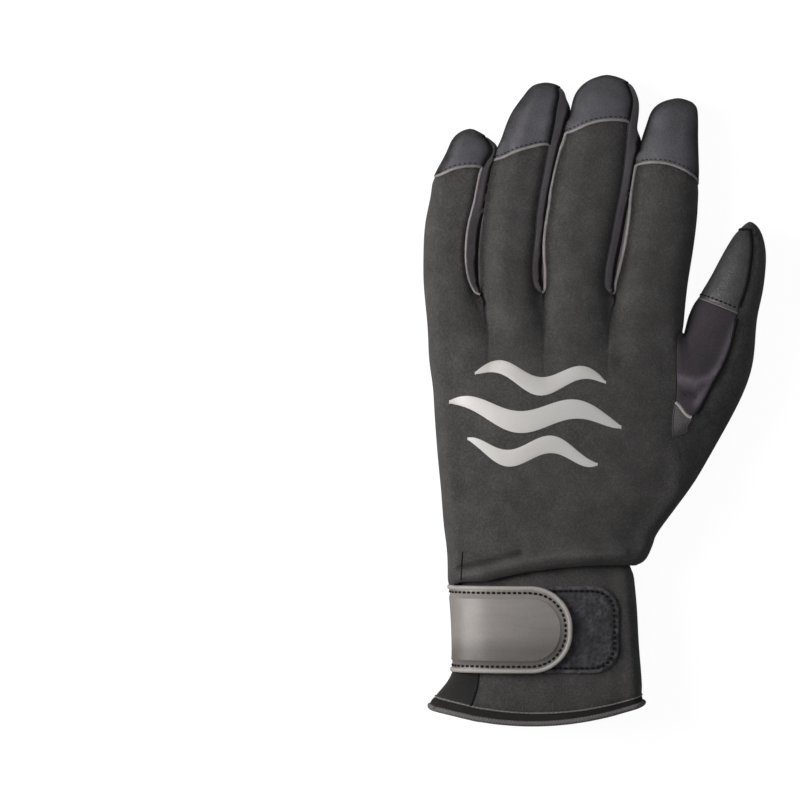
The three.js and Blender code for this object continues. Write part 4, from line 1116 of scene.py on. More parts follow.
# %% [markdown]
# ## Painted shade in hidden places
# Between the fingers, and under the lip at the wrist, cloth gets little light, so its colour is painted
# darker as shade. For each such point, rays go out to the sky, and the share that meets cloth is kept on
# the point as its painted shade. The sharp creases at the wrist and in the thumb's fabric get painted
# shade the same way.

# %% Painted shade in hidden places
SKY_REACH = 11.0
SKY_START = 0.1
SKY_HEIGHTS = (0.25, 0.75, 1.25)
SKY_TURNS = (0.2, 1.25, 2.3, 3.35, 4.4, 5.45)
CREASE_SHADE = 0.5
sky = [Vector((math.cos(a) * math.cos(e), math.sin(a) * math.cos(e), math.sin(e)))
       for e in SKY_HEIGHTS for a in SKY_TURNS]
shaded = np.zeros(len(skin))
for i in np.flatnonzero(((skin[:, 1] > 18) | (fold_distance < 6)) & (normals[:, 2] > -0.6)):
    up = Vector(normals[i])
    spot = Vector(skin[i]) + up * SKY_START
    weights = [max(ray.dot(up), 0) for ray in sky]
    met = sum(w for w, ray in zip(weights, sky) if w > 0 and skin_tree.ray_cast(spot, ray, SKY_REACH)[0])
    shaded[i] = met / sum(weights)
shaded = np.maximum(spread(shaded, 2), gap_shade)
for line, width, _ in BACK_FOLDS[:1] + THUMB_FOLDS[2:]:
    crease = CREASE_SHADE * bell(line_distance(skin, line), width)
    shaded = np.maximum(shaded, np.where(normals[:, 2] > UPWARD, crease, 0))
skin_points = point_tree(skin)
print(int((shaded > 0.5).sum()), "points are more than half hidden")

# %% [markdown]
# ## From skin to panels
# Each panel is now lifted off the skin as its own piece. A narrow ring is inset along its border, and
# the border itself is sunk, so that two panels meet in a crisp groove with rolled edges. Solidify then
# gives each panel the thickness of its cloth, inwards, with the lining's colour on the inside.

# %% Panels as pieces
NEOPRENE_WALL = 2.0
LEATHER_WALL = 1.3
FABRIC_WALL = 1.2
HEM_WALL = 2.2
GROOVE_DEPTH = 0.55
ROLLED_EDGE = 0.22
EDGE_FADE = 1.5
CAP_SHADE_TURN = (0.35, 0.8)
RIDGE_HIGHLIGHT = 0.6
RAISE_WIDTH = 0.7
SMOOTH_ANGLE = math.radians(55)
FINE_PANELS = ("tip_cap", "tip_pad", "thumb_tip", "thumb_base")

PANEL_FINISH = {
    "back_panel": (NEOPRENE, "neoprene", NEOPRENE_WALL, 0.0),
    "cuff_back": (CUFF_NEOPRENE, "neoprene", NEOPRENE_WALL, 0.0),
    "hem_binding": (HEM_TAPE, "binding_tape", HEM_WALL, 0.0),
    "palm_panel": (PALM, "palm_leather", LEATHER_WALL, 0.0),
    "wrist_gusset": (CUFF_STRETCH, "gusset_fabric", FABRIC_WALL, 0.0),
    "thumb_insert": (THUMB_STRETCH, "gusset_fabric", FABRIC_WALL, 0.35),
    "thumb_base_patch": (PATCH_LEATHER, "palm_leather", LEATHER_WALL, 0.1),
    "thumb_tip_pad": (THUMB_PAD, "pad_leather", LEATHER_WALL, 0.1),
}
for panel_name in PANELS:
    if panel_name.startswith("tip_cap"):
        PANEL_FINISH[panel_name] = (CAP, "cap_leather", LEATHER_WALL, 0.35)
    elif panel_name.startswith("tip_pad"):
        PANEL_FINISH[panel_name] = (PAD, "pad_leather", LEATHER_WALL, 0.0)
    elif panel_name.startswith("gusset"):
        PANEL_FINISH[panel_name] = (GUSSET, "gusset_fabric", FABRIC_WALL, 0.3)
    elif panel_name not in PANEL_FINISH:
        PANEL_FINISH[panel_name] = (STRETCH, "gusset_fabric", FABRIC_WALL, 0.0)


def store(obj, name, values):
    """Keep a value on every point of a piece, for its finish."""
    obj.data.attributes.new(name, "FLOAT", "POINT").data.foreach_set("value", values)


# Painted shade: the caps darken near their seams round the tip, giving the tips a dark outline.
tip_tree = point_tree(np.concatenate([
    skin[chain]
    for pair, found in seam_chains.items()
    if "tip_cap" in " ".join(pair) and "back_panel" not in pair
    for chain in found
]))


def mark_edges(obj, name):
    """Store how near each point is to a seam (on a cap, to the seams round its tip, and how far it turns
    down), which lightens as wear on some finishes and darkens as painted shade on others; the painted
    highlight of fold ridges; and the point's painted shade.
    """
    points = mesh_points(obj)
    nearest = [skin_points.find(point)[1] for point in points]
    tree = tip_tree if name.startswith("tip_cap") else seam_tree
    near = bell(np.array([tree.find(point)[2] for point in points]), EDGE_FADE)
    if name.startswith("tip_cap"):
        # Painted shade: a cap darkens where it turns down away from the top.
        near = np.maximum(near, 1 - smooth_step(*CAP_SHADE_TURN, normals[nearest, 2]))
    if name == "thumb_insert":
        near *= 0
    store(obj, "edge", np.maximum(near, wear_and_painted_light[nearest]) - RIDGE_HIGHLIGHT * ridge_highlight[nearest])
    store(obj, "shaded", shaded[nearest])


def smooth(obj):
    """Shade a piece smoothly, but for its sharp edges."""
    make_active(obj)
    bpy.ops.object.shade_smooth_by_angle(angle=SMOOTH_ANGLE)


def dress(obj, material, body="glove", node=None, lining=None):
    """Give a piece its finish, its body and the solid that it stands for."""
    obj.data.materials.clear()
    obj.data.materials.append(material)
    if lining:
        obj.data.materials.append(lining)
    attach(obj, body)
    if node:
        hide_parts(node)


def panel_piece(name):
    material, slot, wall, raised = PANEL_FINISH[name]
    quads = faces[owner == PANELS.index(name)]
    used = np.unique(quads)
    place = np.full(len(skin), -1)
    place[used] = np.arange(len(used))
    rise = raised * (1 - bell(seam_distance[used], RAISE_WIDTH))
    obj = new_object(f"{name}_cloth", skin[used] + normals[used] * rise[:, None], place[quads])
    make_active(obj)
    bpy.ops.object.mode_set(mode="EDIT")
    bpy.ops.mesh.select_all(action="SELECT")
    if name != "hem_binding":
        bpy.ops.mesh.inset(thickness=ROLLED_EDGE * MM, depth=0, use_boundary=True)
    bpy.ops.object.mode_set(mode="OBJECT")
    ends = read_values(obj.data.edges, "vertices", 2)
    uses = np.bincount(read_values(obj.data.loops, "edge_index"), minlength=len(ends))
    border = np.unique(ends[uses == 1])
    points = mesh_points(obj)
    points[border] -= normals[used][border] * GROOVE_DEPTH
    put_points(obj, points)
    if name.startswith(FINE_PANELS):
        apply_modifier(obj, "SUBSURF", levels=1, render_levels=1)
    obj.data.materials.append(material)
    obj.data.materials.append(LINING)
    apply_modifier(obj, "SOLIDIFY", thickness=wall * MM, offset=-1, material_offset=1,
                   use_quality_normals=True)
    mark_edges(obj, name)
    smooth(obj)
    kept = read_values(obj.data.polygons, "material_index")
    dress(obj, material, node=name, lining=LINING)
    obj.data.polygons.foreach_set("material_index", kept)
    return obj


pieces = {name: panel_piece(name) for name in PANELS}
print("panels:", sum(len(p.data.polygons) for p in pieces.values()), "faces")

# %% [markdown]
# ## Things that follow a seam
# Welts, tapes and stitches all run along a line on the cloth. One helper sweeps a small section along
# such a line, with its top turned to the cloth's outside. Another sets copies of one stitch along it: a
# stitch is modelled once, as a flat bead of thread, and its copies are joined, a few dozen faces each.

# %% Sweeps
def unit(vectors):
    return vectors / np.maximum(np.linalg.norm(vectors, axis=-1, keepdims=True), 1e-9)


def run_lengths(points):
    """How far along a line each of its points is."""
    steps = np.linalg.norm(np.diff(points, axis=0), axis=1)
    return np.concatenate([[0], np.cumsum(steps)])


def round_profile(radius, sides=8):
    turns = [2 * math.pi * k / sides for k in range(sides)]
    return np.array([(radius * math.cos(a), radius * math.sin(a)) for a in turns])


def soft_profile(width, height, sides=16, power=0.45):
    """A flat section with rounded corners."""
    turns = [2 * math.pi * (k + 0.5) / sides for k in range(sides)]
    return np.array([
        (math.copysign(abs(math.cos(a)) ** power, math.cos(a)) * width / 2,
         math.copysign(abs(math.sin(a)) ** power, math.sin(a)) * height / 2)
        for a in turns
    ])


def sweep_part(path, ups, profile, closed=False):
    """Points, faces and UVs of a section swept along a path. Closed paths join up, open ones are capped."""
    path, ups = np.asarray(path, float), np.asarray(ups, float)
    ahead = np.roll(path, -1, 0) - np.roll(path, 1, 0) if closed else np.gradient(path, axis=0)
    side = unit(np.cross(unit(ahead), ups))
    up = unit(np.cross(side, unit(ahead)))
    rings = path[:, None] + side[:, None] * profile[None, :, :1] + up[:, None] * profile[None, :, 1:]
    count, sides = len(path), len(profile)
    last = count if closed else count - 1
    quads = [
        (i * sides + k, i * sides + (k + 1) % sides,
         (i + 1) % count * sides + (k + 1) % sides, (i + 1) % count * sides + k)
        for i in range(last)
        for k in range(sides)
    ]
    if not closed:
        quads += [tuple(range(sides))[::-1], tuple(range((count - 1) * sides, count * sides))]
    along = np.repeat(run_lengths(path), sides)
    across = np.tile(profile[:, 0], count)
    return rings.reshape(-1, 3), quads, np.stack([along, across], axis=1)


def joined(name, parts):
    """One object from several parts, each of points, faces and places on the cloth."""
    points, quads, places = [], [], []
    for part_points, part_faces, part_places in parts:
        shift = sum(len(p) for p in points)
        points.append(part_points)
        places.append(part_places)
        quads += [tuple(i + shift for i in face) for face in part_faces]
    obj = new_object(name, np.concatenate(points), quads)
    corners = read_values(obj.data.loops, "vertex_index")
    layer = obj.data.uv_layers.new(name="UVMap")
    layer.data.foreach_set("uv", (np.concatenate(places)[corners] * MM).ravel())
    make_active(obj)
    bpy.ops.object.mode_set(mode="EDIT")
    bpy.ops.mesh.select_all(action="SELECT")
    bpy.ops.mesh.normals_make_consistent(inside=False)
    bpy.ops.object.mode_set(mode="OBJECT")
    smooth(obj)
    return obj


# %% Lines on the cloth
def resampled(points, step):
    """The same line with even steps."""
    points = np.asarray(points, float)
    length = run_lengths(points)
    count = max(int(round(length[-1] / step)), 2)
    places = np.linspace(0, length[-1], count + 1)
    return np.stack([np.interp(places, length, points[:, k]) for k in range(3)], axis=1)


def settled(points, lift=0.0):
    """Points set down on the cloth, with the cloth's outward direction at each."""
    spots, ups = [], []
    for point in points:
        spot, up, _, _ = skin_tree.find_nearest(Vector(point))
        spots.append(spot)
        ups.append(up)
    spots, ups = np.array(spots), np.array(ups)
    soft = ups.copy()
    soft[1:-1] = unit(ups[:-2] + 2 * ups[1:-1] + ups[2:])
    return spots + soft * lift, soft


def beside(points, distance, panel):
    """A line moved sideways over the cloth, onto a panel."""
    spots, ups = settled(points)
    side = unit(np.cross(unit(np.gradient(spots, axis=0)), ups))
    number = PANELS.index(panel)
    votes = 0
    for sign in (1, -1):
        for point in (spots + side * sign * distance)[::3]:
            votes += sign * (owner[skin_tree.find_nearest(Vector(point))[2]] == number)
    return settled(spots + side * (distance if votes >= 0 else -distance))[0]


def seam_lines(a, b, step=1.2, least=4.0):
    """The seam between two panels, as lines of even steps."""
    lines = [skin[chain] for chain in seam_chains.get(tuple(sorted((a, b))), [])]
    return [resampled(line, step) for line in lines if run_lengths(line)[-1] > least]


def trimmed(line, start, end):
    """A line without its first and last millimetres."""
    length = run_lengths(line)
    return line[(length >= start) & (length <= length[-1] - end)]


# %% One stitch and rows of it
bpy.ops.mesh.primitive_uv_sphere_add(segments=6, ring_count=6, radius=1.0)
bead = bpy.context.object
bead_points = np.array([v.co for v in bead.data.vertices])
bead_points = bead_points[:, [2, 0, 1]]
bead_points = np.sign(bead_points) * np.abs(bead_points) ** (0.75, 0.9, 0.9)
bead_faces = [tuple(face.vertices) for face in bead.data.polygons]
bpy.data.objects.remove(bead)
print("a stitch has", len(bead_faces), "faces")


def stitch_row(line, spacing=2.2, length=1.35, width=0.34, lift=0.1, ups=None):
    """Copies of the bead along a line on the cloth."""
    spots = resampled(line, spacing)
    spots, facing = settled(spots, lift) if ups is None else (spots, ups(spots))
    middle = (spots[1:] + spots[:-1]) / 2
    ahead = unit(spots[1:] - spots[:-1])
    up = unit(facing[1:] + facing[:-1])
    side = unit(np.cross(ahead, up))
    size = np.array([length / 2, width / 2, width * 0.38])
    scaled = bead_points * size
    parts = []
    for spot, a, s, u in zip(middle, ahead, side, np.cross(side, ahead)):
        points = spot + scaled[:, :1] * a + scaled[:, 1:2] * s + scaled[:, 2:] * u
        parts.append((points, bead_faces, scaled[:, :2]))
    return parts


# %% [markdown]
# ## Welts
# Where the caps and gussets meet the back, the seam is glued and blind stitched. It stands up as a thin
# thin ridge, pale on one side of each gusset and dull on the other, which draws every finger in the
# photograph. Dark welts run round the fingertips, the thumb's outside and the wrist gusset, and give
# them their dark outline: round the tips it is partly seam and partly painted shade, and along the
# thumb's outside it is a painted shadow line. Swept tubes sit half sunk in the grooves.

# %% Welts
CAP_WELT = 0.6
SIDE_WELT = 0.7
TIP_WELT = 0.7
THUMB_WELT = 0.7
THUMB_TRIM = (1.5, 1.5)
THUMB_OUTSIDE_X = 40
WELT_SINK = -0.15


def welts(name, lines, radius, material=DARK_THREAD):
    profile = round_profile(radius)
    dress(joined(name, [sweep_part(*settled(line, WELT_SINK), profile) for line in lines]), material)


def pair_lines(pairs):
    return [line for a, b in pairs for line in seam_lines(a, b)]


def gusset_sides(gusset):
    """The gusset's seams with the back: on the finger at its left, and on the one at its right."""
    line = max(seam_lines("back_panel", gusset), key=len)
    crotch = line[:, 1].argmin()
    halves = [line[:crotch + 1][::-1], line[crotch:]]
    return sorted(halves, key=lambda half: half[:, 0].mean())


CAPS = [f"tip_cap_{name}" for name in FINGER_NAMES]
BRIGHT_SIDES = {("gusset_little_ring", 0), ("gusset_ring_middle", 1), ("gusset_middle_index", 1)}
bright_lines, dull_lines = [], []
for gusset in GUSSETS:
    for side, line in enumerate(gusset_sides(gusset)):
        (bright_lines if (gusset, side) in BRIGHT_SIDES else dull_lines).append(line)
welts("cap_welts", pair_lines([(cap, "back_panel") for cap in CAPS]), CAP_WELT, SEAM)
welts("bright_gusset_welts", bright_lines, SIDE_WELT, SIDE_SEAM)
dull_lines += pair_lines([("thumb_base_patch", "back_panel")])
welts("dull_welts", dull_lines, SIDE_WELT * 0.5, DULL_SEAM)
tip_pairs = [(cap, gusset) for cap in CAPS for gusset in GUSSETS]
tip_pairs += [(f"tip_cap_{name}", f"tip_pad_{name}") for name in FINGER_NAMES]
# The black tip welts are partly real seams and partly painted shade, giving the tips a dark outline.
welts("tip_welts", pair_lines(tip_pairs), TIP_WELT)
thumb_pairs = [("thumb_tip_pad", "back_panel"), ("thumb_insert", "back_panel")]
thumb_lines = pair_lines(thumb_pairs)
outer_lines = [trimmed(line, *THUMB_TRIM) for line in thumb_lines if line[:, 0].mean() > THUMB_OUTSIDE_X]
# Painted shadow: a black welt along the thumb's outer seams stands for the dark shadow line beside them.
welts("thumb_side_shadow_welt", outer_lines, THUMB_WELT)
patch_seam = pair_lines([("thumb_base_patch", "thumb_insert")])
cross_seam = pair_lines([("thumb_tip_pad", "thumb_insert")])
welts("wrist_gusset_welt", pair_lines([("cuff_back", "wrist_gusset")]), SIDE_WELT * 0.8)
welts("thumb_patch_welt", patch_seam, SIDE_WELT, SIDE_SEAM)
welts("thumb_cross_welt", cross_seam, SIDE_WELT * 0.7, HEM_EDGE)
print(len(bright_lines), "bright and", len(dull_lines), "dull lines")

# %% [markdown]
# ## Wrapping the cuff
# The strap and its patch are cut flat and then wrapped over the cuff. For that the cuff is measured in
# slices: rays from its middle find the skin all round, and the length along each slice, counted from
# the top of its middle, becomes a ruler. A flat point then maps to the same length along the slice.

# %% Slices of the cuff
SLICE_STEP = 2.0
SLICE_MIDDLE = (-19.0, 13.0)
SLICE_START = 215
SLICE_TURN = 2.5
ACROSS_STEP = 1.5
slice_ys = np.arange(-112.0, -64.0, SLICE_STEP)
slice_turns = np.radians(np.arange(SLICE_START, -31, -SLICE_TURN))
SLICE_TOP = round((SLICE_START - 90) / SLICE_TURN)


def cuff_slice(y):
    """Length along the slice from the top of its middle, and the slice's x and z."""
    spots = []
    for turn in slice_turns:
        aim = Vector((math.cos(turn), 0, math.sin(turn)))
        spots.append(skin_tree.ray_cast(Vector((SLICE_MIDDLE[0], y, SLICE_MIDDLE[1])), aim)[0])
    spots = np.array(spots)[:, [0, 2]]
    for _ in range(3):
        spots[1:-1] = (spots[:-2] + 2 * spots[1:-1] + spots[2:]) / 4
    length = run_lengths(spots)
    return length - length[SLICE_TOP], spots


slices = [cuff_slice(y) for y in slice_ys]


def slice_point(number, along):
    length, spots = slices[number]
    return np.stack([np.interp(along, length, spots[:, k]) for k in range(2)], axis=-1)


def wrapped(flat, lift):
    """Flat points (along the slice, y) laid over the cuff at a height above it."""
    flat = np.asarray(flat, float)
    lift = np.broadcast_to(lift, len(flat))
    row = (flat[:, 1] - slice_ys[0]) / SLICE_STEP
    low = np.clip(row.astype(int), 0, len(slice_ys) - 2)
    share = (row - low)[:, None]
    spots = []
    for shift in (-ACROSS_STEP, 0, ACROSS_STEP):
        pair = [np.array([slice_point(n, u + shift) for n, u in zip(low + k, flat[:, 0])]) for k in (0, 1)]
        spots.append(mix(pair[0], pair[1], share))
    across = unit(spots[2] - spots[0])
    spot = spots[1] + np.stack([-across[:, 1], across[:, 0]], axis=1) * lift[:, None]
    return np.stack([spot[:, 0], flat[:, 1], spot[:, 1]], axis=1)


def wrapped_ups(flat):
    return unit(wrapped(flat, 1.0) - wrapped(flat, 0.0))


def ruler_at(x, y):
    """How far along the slice the cuff reaches a place across."""
    number = int(round((y - slice_ys[0]) / SLICE_STEP))
    length, spots = slices[number]
    over = slice(spots[:, 0].argmin(), spots[:, 0].argmax() + 1)
    return float(np.interp(x, spots[over, 0], length[over]))


STRAP_TOP = -70.4
STRAP_BOTTOM = -103.6
STRAP_TIP_X = -8.9
PATCH_START_X = -44.0
PATCH_TIP_X = 8.9
STRAP_OVERLAP = 5.0
LEFT_OF_CUFF_X = -99
strap_middle = (STRAP_TOP + STRAP_BOTTOM) / 2
strap_start = ruler_at(LEFT_OF_CUFF_X, strap_middle) - STRAP_OVERLAP
strap_end = ruler_at(STRAP_TIP_X, strap_middle)
patch_start = ruler_at(PATCH_START_X, strap_middle)
patch_end = ruler_at(PATCH_TIP_X, strap_middle)
print("strap", round(strap_end - strap_start, 1), "mm long, patch", round(patch_end - patch_start, 1), "mm")

# %% [markdown]
# ## Cutting a flat sheet
# The strap and the patch start as a plane. Two of its corners are bevelled round, its face is inset
# where stitches and steps will lie, and straight bisecting cuts give it enough points to bend smoothly.

# %% Flat sheets
def flat_sheet(name, start, end, top, bottom, corner, insets, step):
    centre = Vector(((start + end) / 2, (top + bottom) / 2, 0)) * MM
    bpy.ops.object.select_all(action="DESELECT")
    bpy.ops.mesh.primitive_plane_add(size=1, location=centre)
    obj = bpy.context.object
    obj.name = name
    obj.scale = ((end - start) * MM, (top - bottom) * MM, 1)
    bpy.ops.object.transform_apply(location=True, rotation=True, scale=True)
    bpy.ops.object.mode_set(mode="EDIT")
    bpy.ops.mesh.select_mode(type="VERT")
    bpy.ops.mesh.select_all(action="DESELECT")
    bpy.ops.object.mode_set(mode="OBJECT")
    for vertex in obj.data.vertices:
        vertex.select = vertex.co.x > centre.x
    bpy.ops.object.mode_set(mode="EDIT")
    bpy.ops.mesh.bevel(offset=corner * MM, segments=14, affect="VERTICES")
    bpy.ops.mesh.select_all(action="SELECT")
    for inset in insets:
        bpy.ops.mesh.inset(thickness=inset * MM, depth=0)
    for x in np.arange(start + step, end - 0.5, step):
        bpy.ops.mesh.select_all(action="SELECT")
        bpy.ops.mesh.bisect(plane_co=(x * MM, 0, 0), plane_no=(1, 0, 0))
    for y in np.arange(bottom + step, top - 0.5, step):
        bpy.ops.mesh.select_all(action="SELECT")
        bpy.ops.mesh.bisect(plane_co=(0, y * MM, 0), plane_no=(0, 1, 0))
    bpy.ops.object.mode_set(mode="OBJECT")
    return obj


def dress_sheet(obj, thickness, material, edge=None, node=None):
    """Give a sheet its thickness, its edge values and its finish: lighter fuzz along the patch's edge,
    painted shade on the strap's lower part.
    """
    obj.data.materials.append(material)
    apply_modifier(obj, "SOLIDIFY", thickness=thickness * MM, offset=-1)
    if edge is not None:
        store(obj, "edge", np.tile(edge, 2))
    smooth(obj)
    dress(obj, material, node=node)


def sheet_margin(flat, end, top, bottom, corner):
    """Distance of flat points from the sheet's long edges and its rounded end."""
    to_end = end - flat[:, 0]
    to_side = np.minimum(top - flat[:, 1], flat[:, 1] - bottom)
    inside = (to_end < corner) & (to_side < corner)
    round_part = corner - np.hypot(corner - to_end, corner - to_side)
    return np.where(inside, round_part, np.minimum(to_end, to_side))


# %% [markdown]
# ## The wrist strap
# The strap is a tongue of satin leather with a round end. A raised pale binding runs round its edge,
# then comes a sunk line of dark stitches, and a shallow step frames the plain middle. Its lower part is
# darkened a little with painted shade.

# %% The strap
STRAP_CORNER = 15.6
STRAP_THICKNESS = 1.6
STRAP_HEIGHT = 3.3
ROOT_HEIGHT = 0.6
RIM_WIDTH = 1.7
STITCH_MARGIN = 2.6
FRAME_MARGIN = 4.7
STRAP_CROWN = 1.3
STRAP_INSETS = (1.2, 0.4, 0.4, 0.5, 1.35, 0.25, 0.25, 0.3)
SHEET_TRIM = 0.4


def strap_height(flat):
    """The strap's height above the cuff: low at its sewn root, and bowed from edge to edge."""
    free = smooth_step(strap_start, patch_start + 4, flat[:, 0])
    across = 2 * (flat[:, 1] - STRAP_BOTTOM) / (STRAP_TOP - STRAP_BOTTOM) - 1
    return mix(ROOT_HEIGHT, STRAP_HEIGHT, free) + STRAP_CROWN * mix(0.3, 1, free) * (1 - across ** 2)


def strap_piece():
    obj = flat_sheet("wrist_strap_leather", strap_start, strap_end - SHEET_TRIM, STRAP_TOP - SHEET_TRIM,
                     STRAP_BOTTOM + SHEET_TRIM, STRAP_CORNER - SHEET_TRIM, STRAP_INSETS, 2.0)
    flat = mesh_points(obj)[:, :2]
    margin = sheet_margin(flat, strap_end, STRAP_TOP, STRAP_BOTTOM, STRAP_CORNER)
    groove = -0.35 * bell(margin - STITCH_MARGIN, 0.5)
    frame_step = 0.4 * smooth_step(FRAME_MARGIN - 0.4, FRAME_MARGIN + 0.1, margin)
    put_points(obj, wrapped(flat, strap_height(flat) + groove + frame_step))
    # Painted shade: the strap darkens towards its lower edge.
    lower_shade = 1 - smooth_step(STRAP_BOTTOM + 6, strap_middle + 2, flat[:, 1])
    dress_sheet(obj, STRAP_THICKNESS, STRAP, lower_shade, "wrist_strap")


def outline(start, end, top, bottom, corner, inset):
    """The sheet's edge as a flat line: along the top, round the end and back."""
    reach = corner - inset
    turns = np.radians(np.arange(90, -91, -6))
    edge = [(x, top - inset) for x in np.arange(start, end - corner, 1.5)]
    middle = (top + bottom) / 2
    for turn in turns:
        centre_y = top - corner if turn > 0 else bottom + corner if turn < 0 else middle
        edge.append((end - corner + reach * math.cos(turn), centre_y + reach * math.sin(turn)))
    edge += [(x, bottom + inset) for x in np.arange(start, end - corner, 1.5)[::-1]]
    return np.array(edge)


def flat_row(line, height, spacing, **shape):
    """Stitches on a wrapped sheet: the line is flat, height gives the sheet's face above the cuff."""
    steps = run_lengths(line)
    places = np.linspace(0, steps[-1], max(int(steps[-1] / spacing), 2) + 1)
    even = np.stack([np.interp(places, steps, line[:, k]) for k in range(2)], axis=1)
    spots = wrapped(even, height(even))
    ups = wrapped_ups(even)
    return stitch_row(spots, spacing=spacing * 0.98, ups=lambda p: np.array([
        ups[np.linalg.norm(spots - q, axis=1).argmin()] for q in p
    ]), **shape)


strap_piece()
rim_line = outline(strap_start, strap_end, STRAP_TOP, STRAP_BOTTOM, STRAP_CORNER, RIM_WIDTH / 2)
rim_spots = wrapped(rim_line, strap_height(rim_line) - 0.6)
rim_part = sweep_part(rim_spots, wrapped_ups(rim_line), soft_profile(RIM_WIDTH, 1.9, power=0.7))
dress(joined("strap_rim_binding", [rim_part]), RIM, node="strap_rim")
strap_stitch_line = outline(strap_start + 1, strap_end, STRAP_TOP, STRAP_BOTTOM, STRAP_CORNER, STITCH_MARGIN)
strap_stitches = joined("strap_stitches", flat_row(
    strap_stitch_line, lambda flat: strap_height(flat) - 0.15, 2.05, length=1.45, width=1.05))
dress(strap_stitches, DARK_THREAD)
print("strap, binding and", len(strap_stitches.data.polygons) // len(bead_faces), "stitches")

# %% [markdown]
# ## The loop patch
# The strap closes on a sewn patch of loop pile. Its nap is real relief: a dense grid moved by two sizes
# of noise, pressed down along the stitches, so that it catches light unevenly from any side.

# %% The patch
PATCH_CORNER = 10.0
PATCH_HEIGHT = 1.5
PATCH_THICKNESS = 1.1
PATCH_STITCH = 1.9


def patch_piece():
    obj = flat_sheet("loop_patch_pile", patch_start, patch_end, STRAP_TOP, STRAP_BOTTOM,
                     PATCH_CORNER, (0.5, 0.5, 0.6, 0.6), 0.62)
    flat = mesh_points(obj)[:, :2]
    margin = sheet_margin(flat, patch_end, STRAP_TOP, STRAP_BOTTOM, PATCH_CORNER)
    nap = np.array([
        0.24 * noise.noise(Vector((x, y, 0)) * 1.3) + 0.2 * noise.noise(Vector((x, y, 9)) * 0.45)
        for x, y in flat
    ])
    pressed = -0.4 * bell(margin - PATCH_STITCH, 0.55) - 0.5 * bell(margin, 0.6)
    put_points(obj, wrapped(flat, PATCH_HEIGHT + nap + pressed))
    fuzz = bell(margin - 0.7, 0.6) * np.clip(0.4 + 1.6 * nap / 0.3, 0, 1)
    dress_sheet(obj, PATCH_THICKNESS, PILE, fuzz, "loop_patch")


patch_piece()
patch_line = outline(strap_end - 12, patch_end, STRAP_TOP, STRAP_BOTTOM, PATCH_CORNER, PATCH_STITCH)
patch_stitches = joined("patch_stitches", flat_row(
    patch_line, lambda flat: np.full(len(flat), PATCH_HEIGHT + 0.15), 2.1, length=1.4, width=1.1))
dress(patch_stitches, DARK_THREAD)
print("patch and", len(patch_stitches.data.polygons) // len(bead_faces), "stitches")

# %% [markdown]
# ## Hem, tape and stitches
# The wrist opening is bound with tape, held by a line of pale stitches, and ends in a rolled rim at the
# mouth. Under the cuff a grey ribbed tape runs beside it. The caps, the palm and the thumb show rows of
# stitches too.

# %% Rows of stitches
CAP_STITCH = 1.15
THUMB_STITCH = 1.7
HEM_EDGE_RADIUS = 0.4
RIM_RADIUS = 1.05
RIM_DEPTH = 0.35
RIM_INSET = 2.0
PALM_STITCH = 1.5
ABOVE, BELOW = 60, -20
CUFF_PANELS = ("cuff_back", "wrist_gusset", "cuff_underside")


def thread(name, rows, material):
    parts = [part for row in rows for part in row]
    dress(joined(name, parts), material)
    print(name, len(parts), "stitches")


hem_lines = [line for panel in CUFF_PANELS for line in seam_lines(panel, "hem_binding", least=2)]
welts("hem_edge", hem_lines, HEM_EDGE_RADIUS, HEM_EDGE)
hem_rows = [stitch_row(line, spacing=1.9, lift=HEM_EDGE_RADIUS - 0.12, width=0.4) for line in hem_lines]
thread("hem_stitches", hem_rows, PALE_THREAD)
hem_mouth = resampled(skin[chains([tuple(edge) for edge in hem_edges])[0]], 1.2)
rim_spots, rim_ups = settled(beside(hem_mouth, RIM_INSET, "hem_binding"), -RIM_DEPTH)
# The rim carries a painted highlight: it is the black tape in a lighter colour.
rim_part = sweep_part(rim_spots[:-1], rim_ups[:-1], round_profile(RIM_RADIUS, 14), closed=True)
dress(joined("hem_rolled_rim", [rim_part]), HEM_RIM_HIGHLIGHT)
cap_rows = [
    stitch_row(beside(trimmed(line, 1.2, 1.2), CAP_STITCH, cap),
               spacing=1.9, length=1.1, width=0.42, lift=0.36)
    for cap in CAPS
    for line in seam_lines(cap, "back_panel", least=12)
]
thread("cap_stitches", cap_rows, DARK_THREAD)
thumb_rows = [
    stitch_row(beside(trimmed(line, 1, 1), THUMB_STITCH, "thumb_tip_pad"),
               spacing=1.9, length=1.4, width=0.75, lift=0.15)
    for line in seam_lines("thumb_tip_pad", "thumb_insert", least=10)
]
thread("thumb_stitches", thumb_rows, DARK_THREAD)


def palm_line(ends, bow, count=60):
    """A line over the palm side, between two places, drawn on the underside of the skin."""
    spots = []
    for t in np.linspace(0, 1, count):
        x = mix(ends[0][0], ends[1][0], t)
        y = mix(ends[0][1], ends[1][1], t) + bow * (1 - (2 * t - 1) ** 2)
        spots.append(skin_tree.ray_cast(Vector((x, y, BELOW)), Vector((0, 0, 1)))[0])
    return np.array(spots)


def back_line(places, step=1.0):
    """A line through named places on the back, laid on the top of the skin."""
    flat = resampled([(x, y, ABOVE) for x, y in places], step)
    return np.array([skin_tree.ray_cast(Vector(point), Vector((0, 0, -1)))[0] for point in flat])


WRIST_SEAM = [(-50.6, -57.5), (-51.0, -63.0), (-51.2, -68.2)]
WRIST_SEAM_RADIUS = 0.35
welts("wrist_side_seam", [back_line(WRIST_SEAM)], WRIST_SEAM_RADIUS)

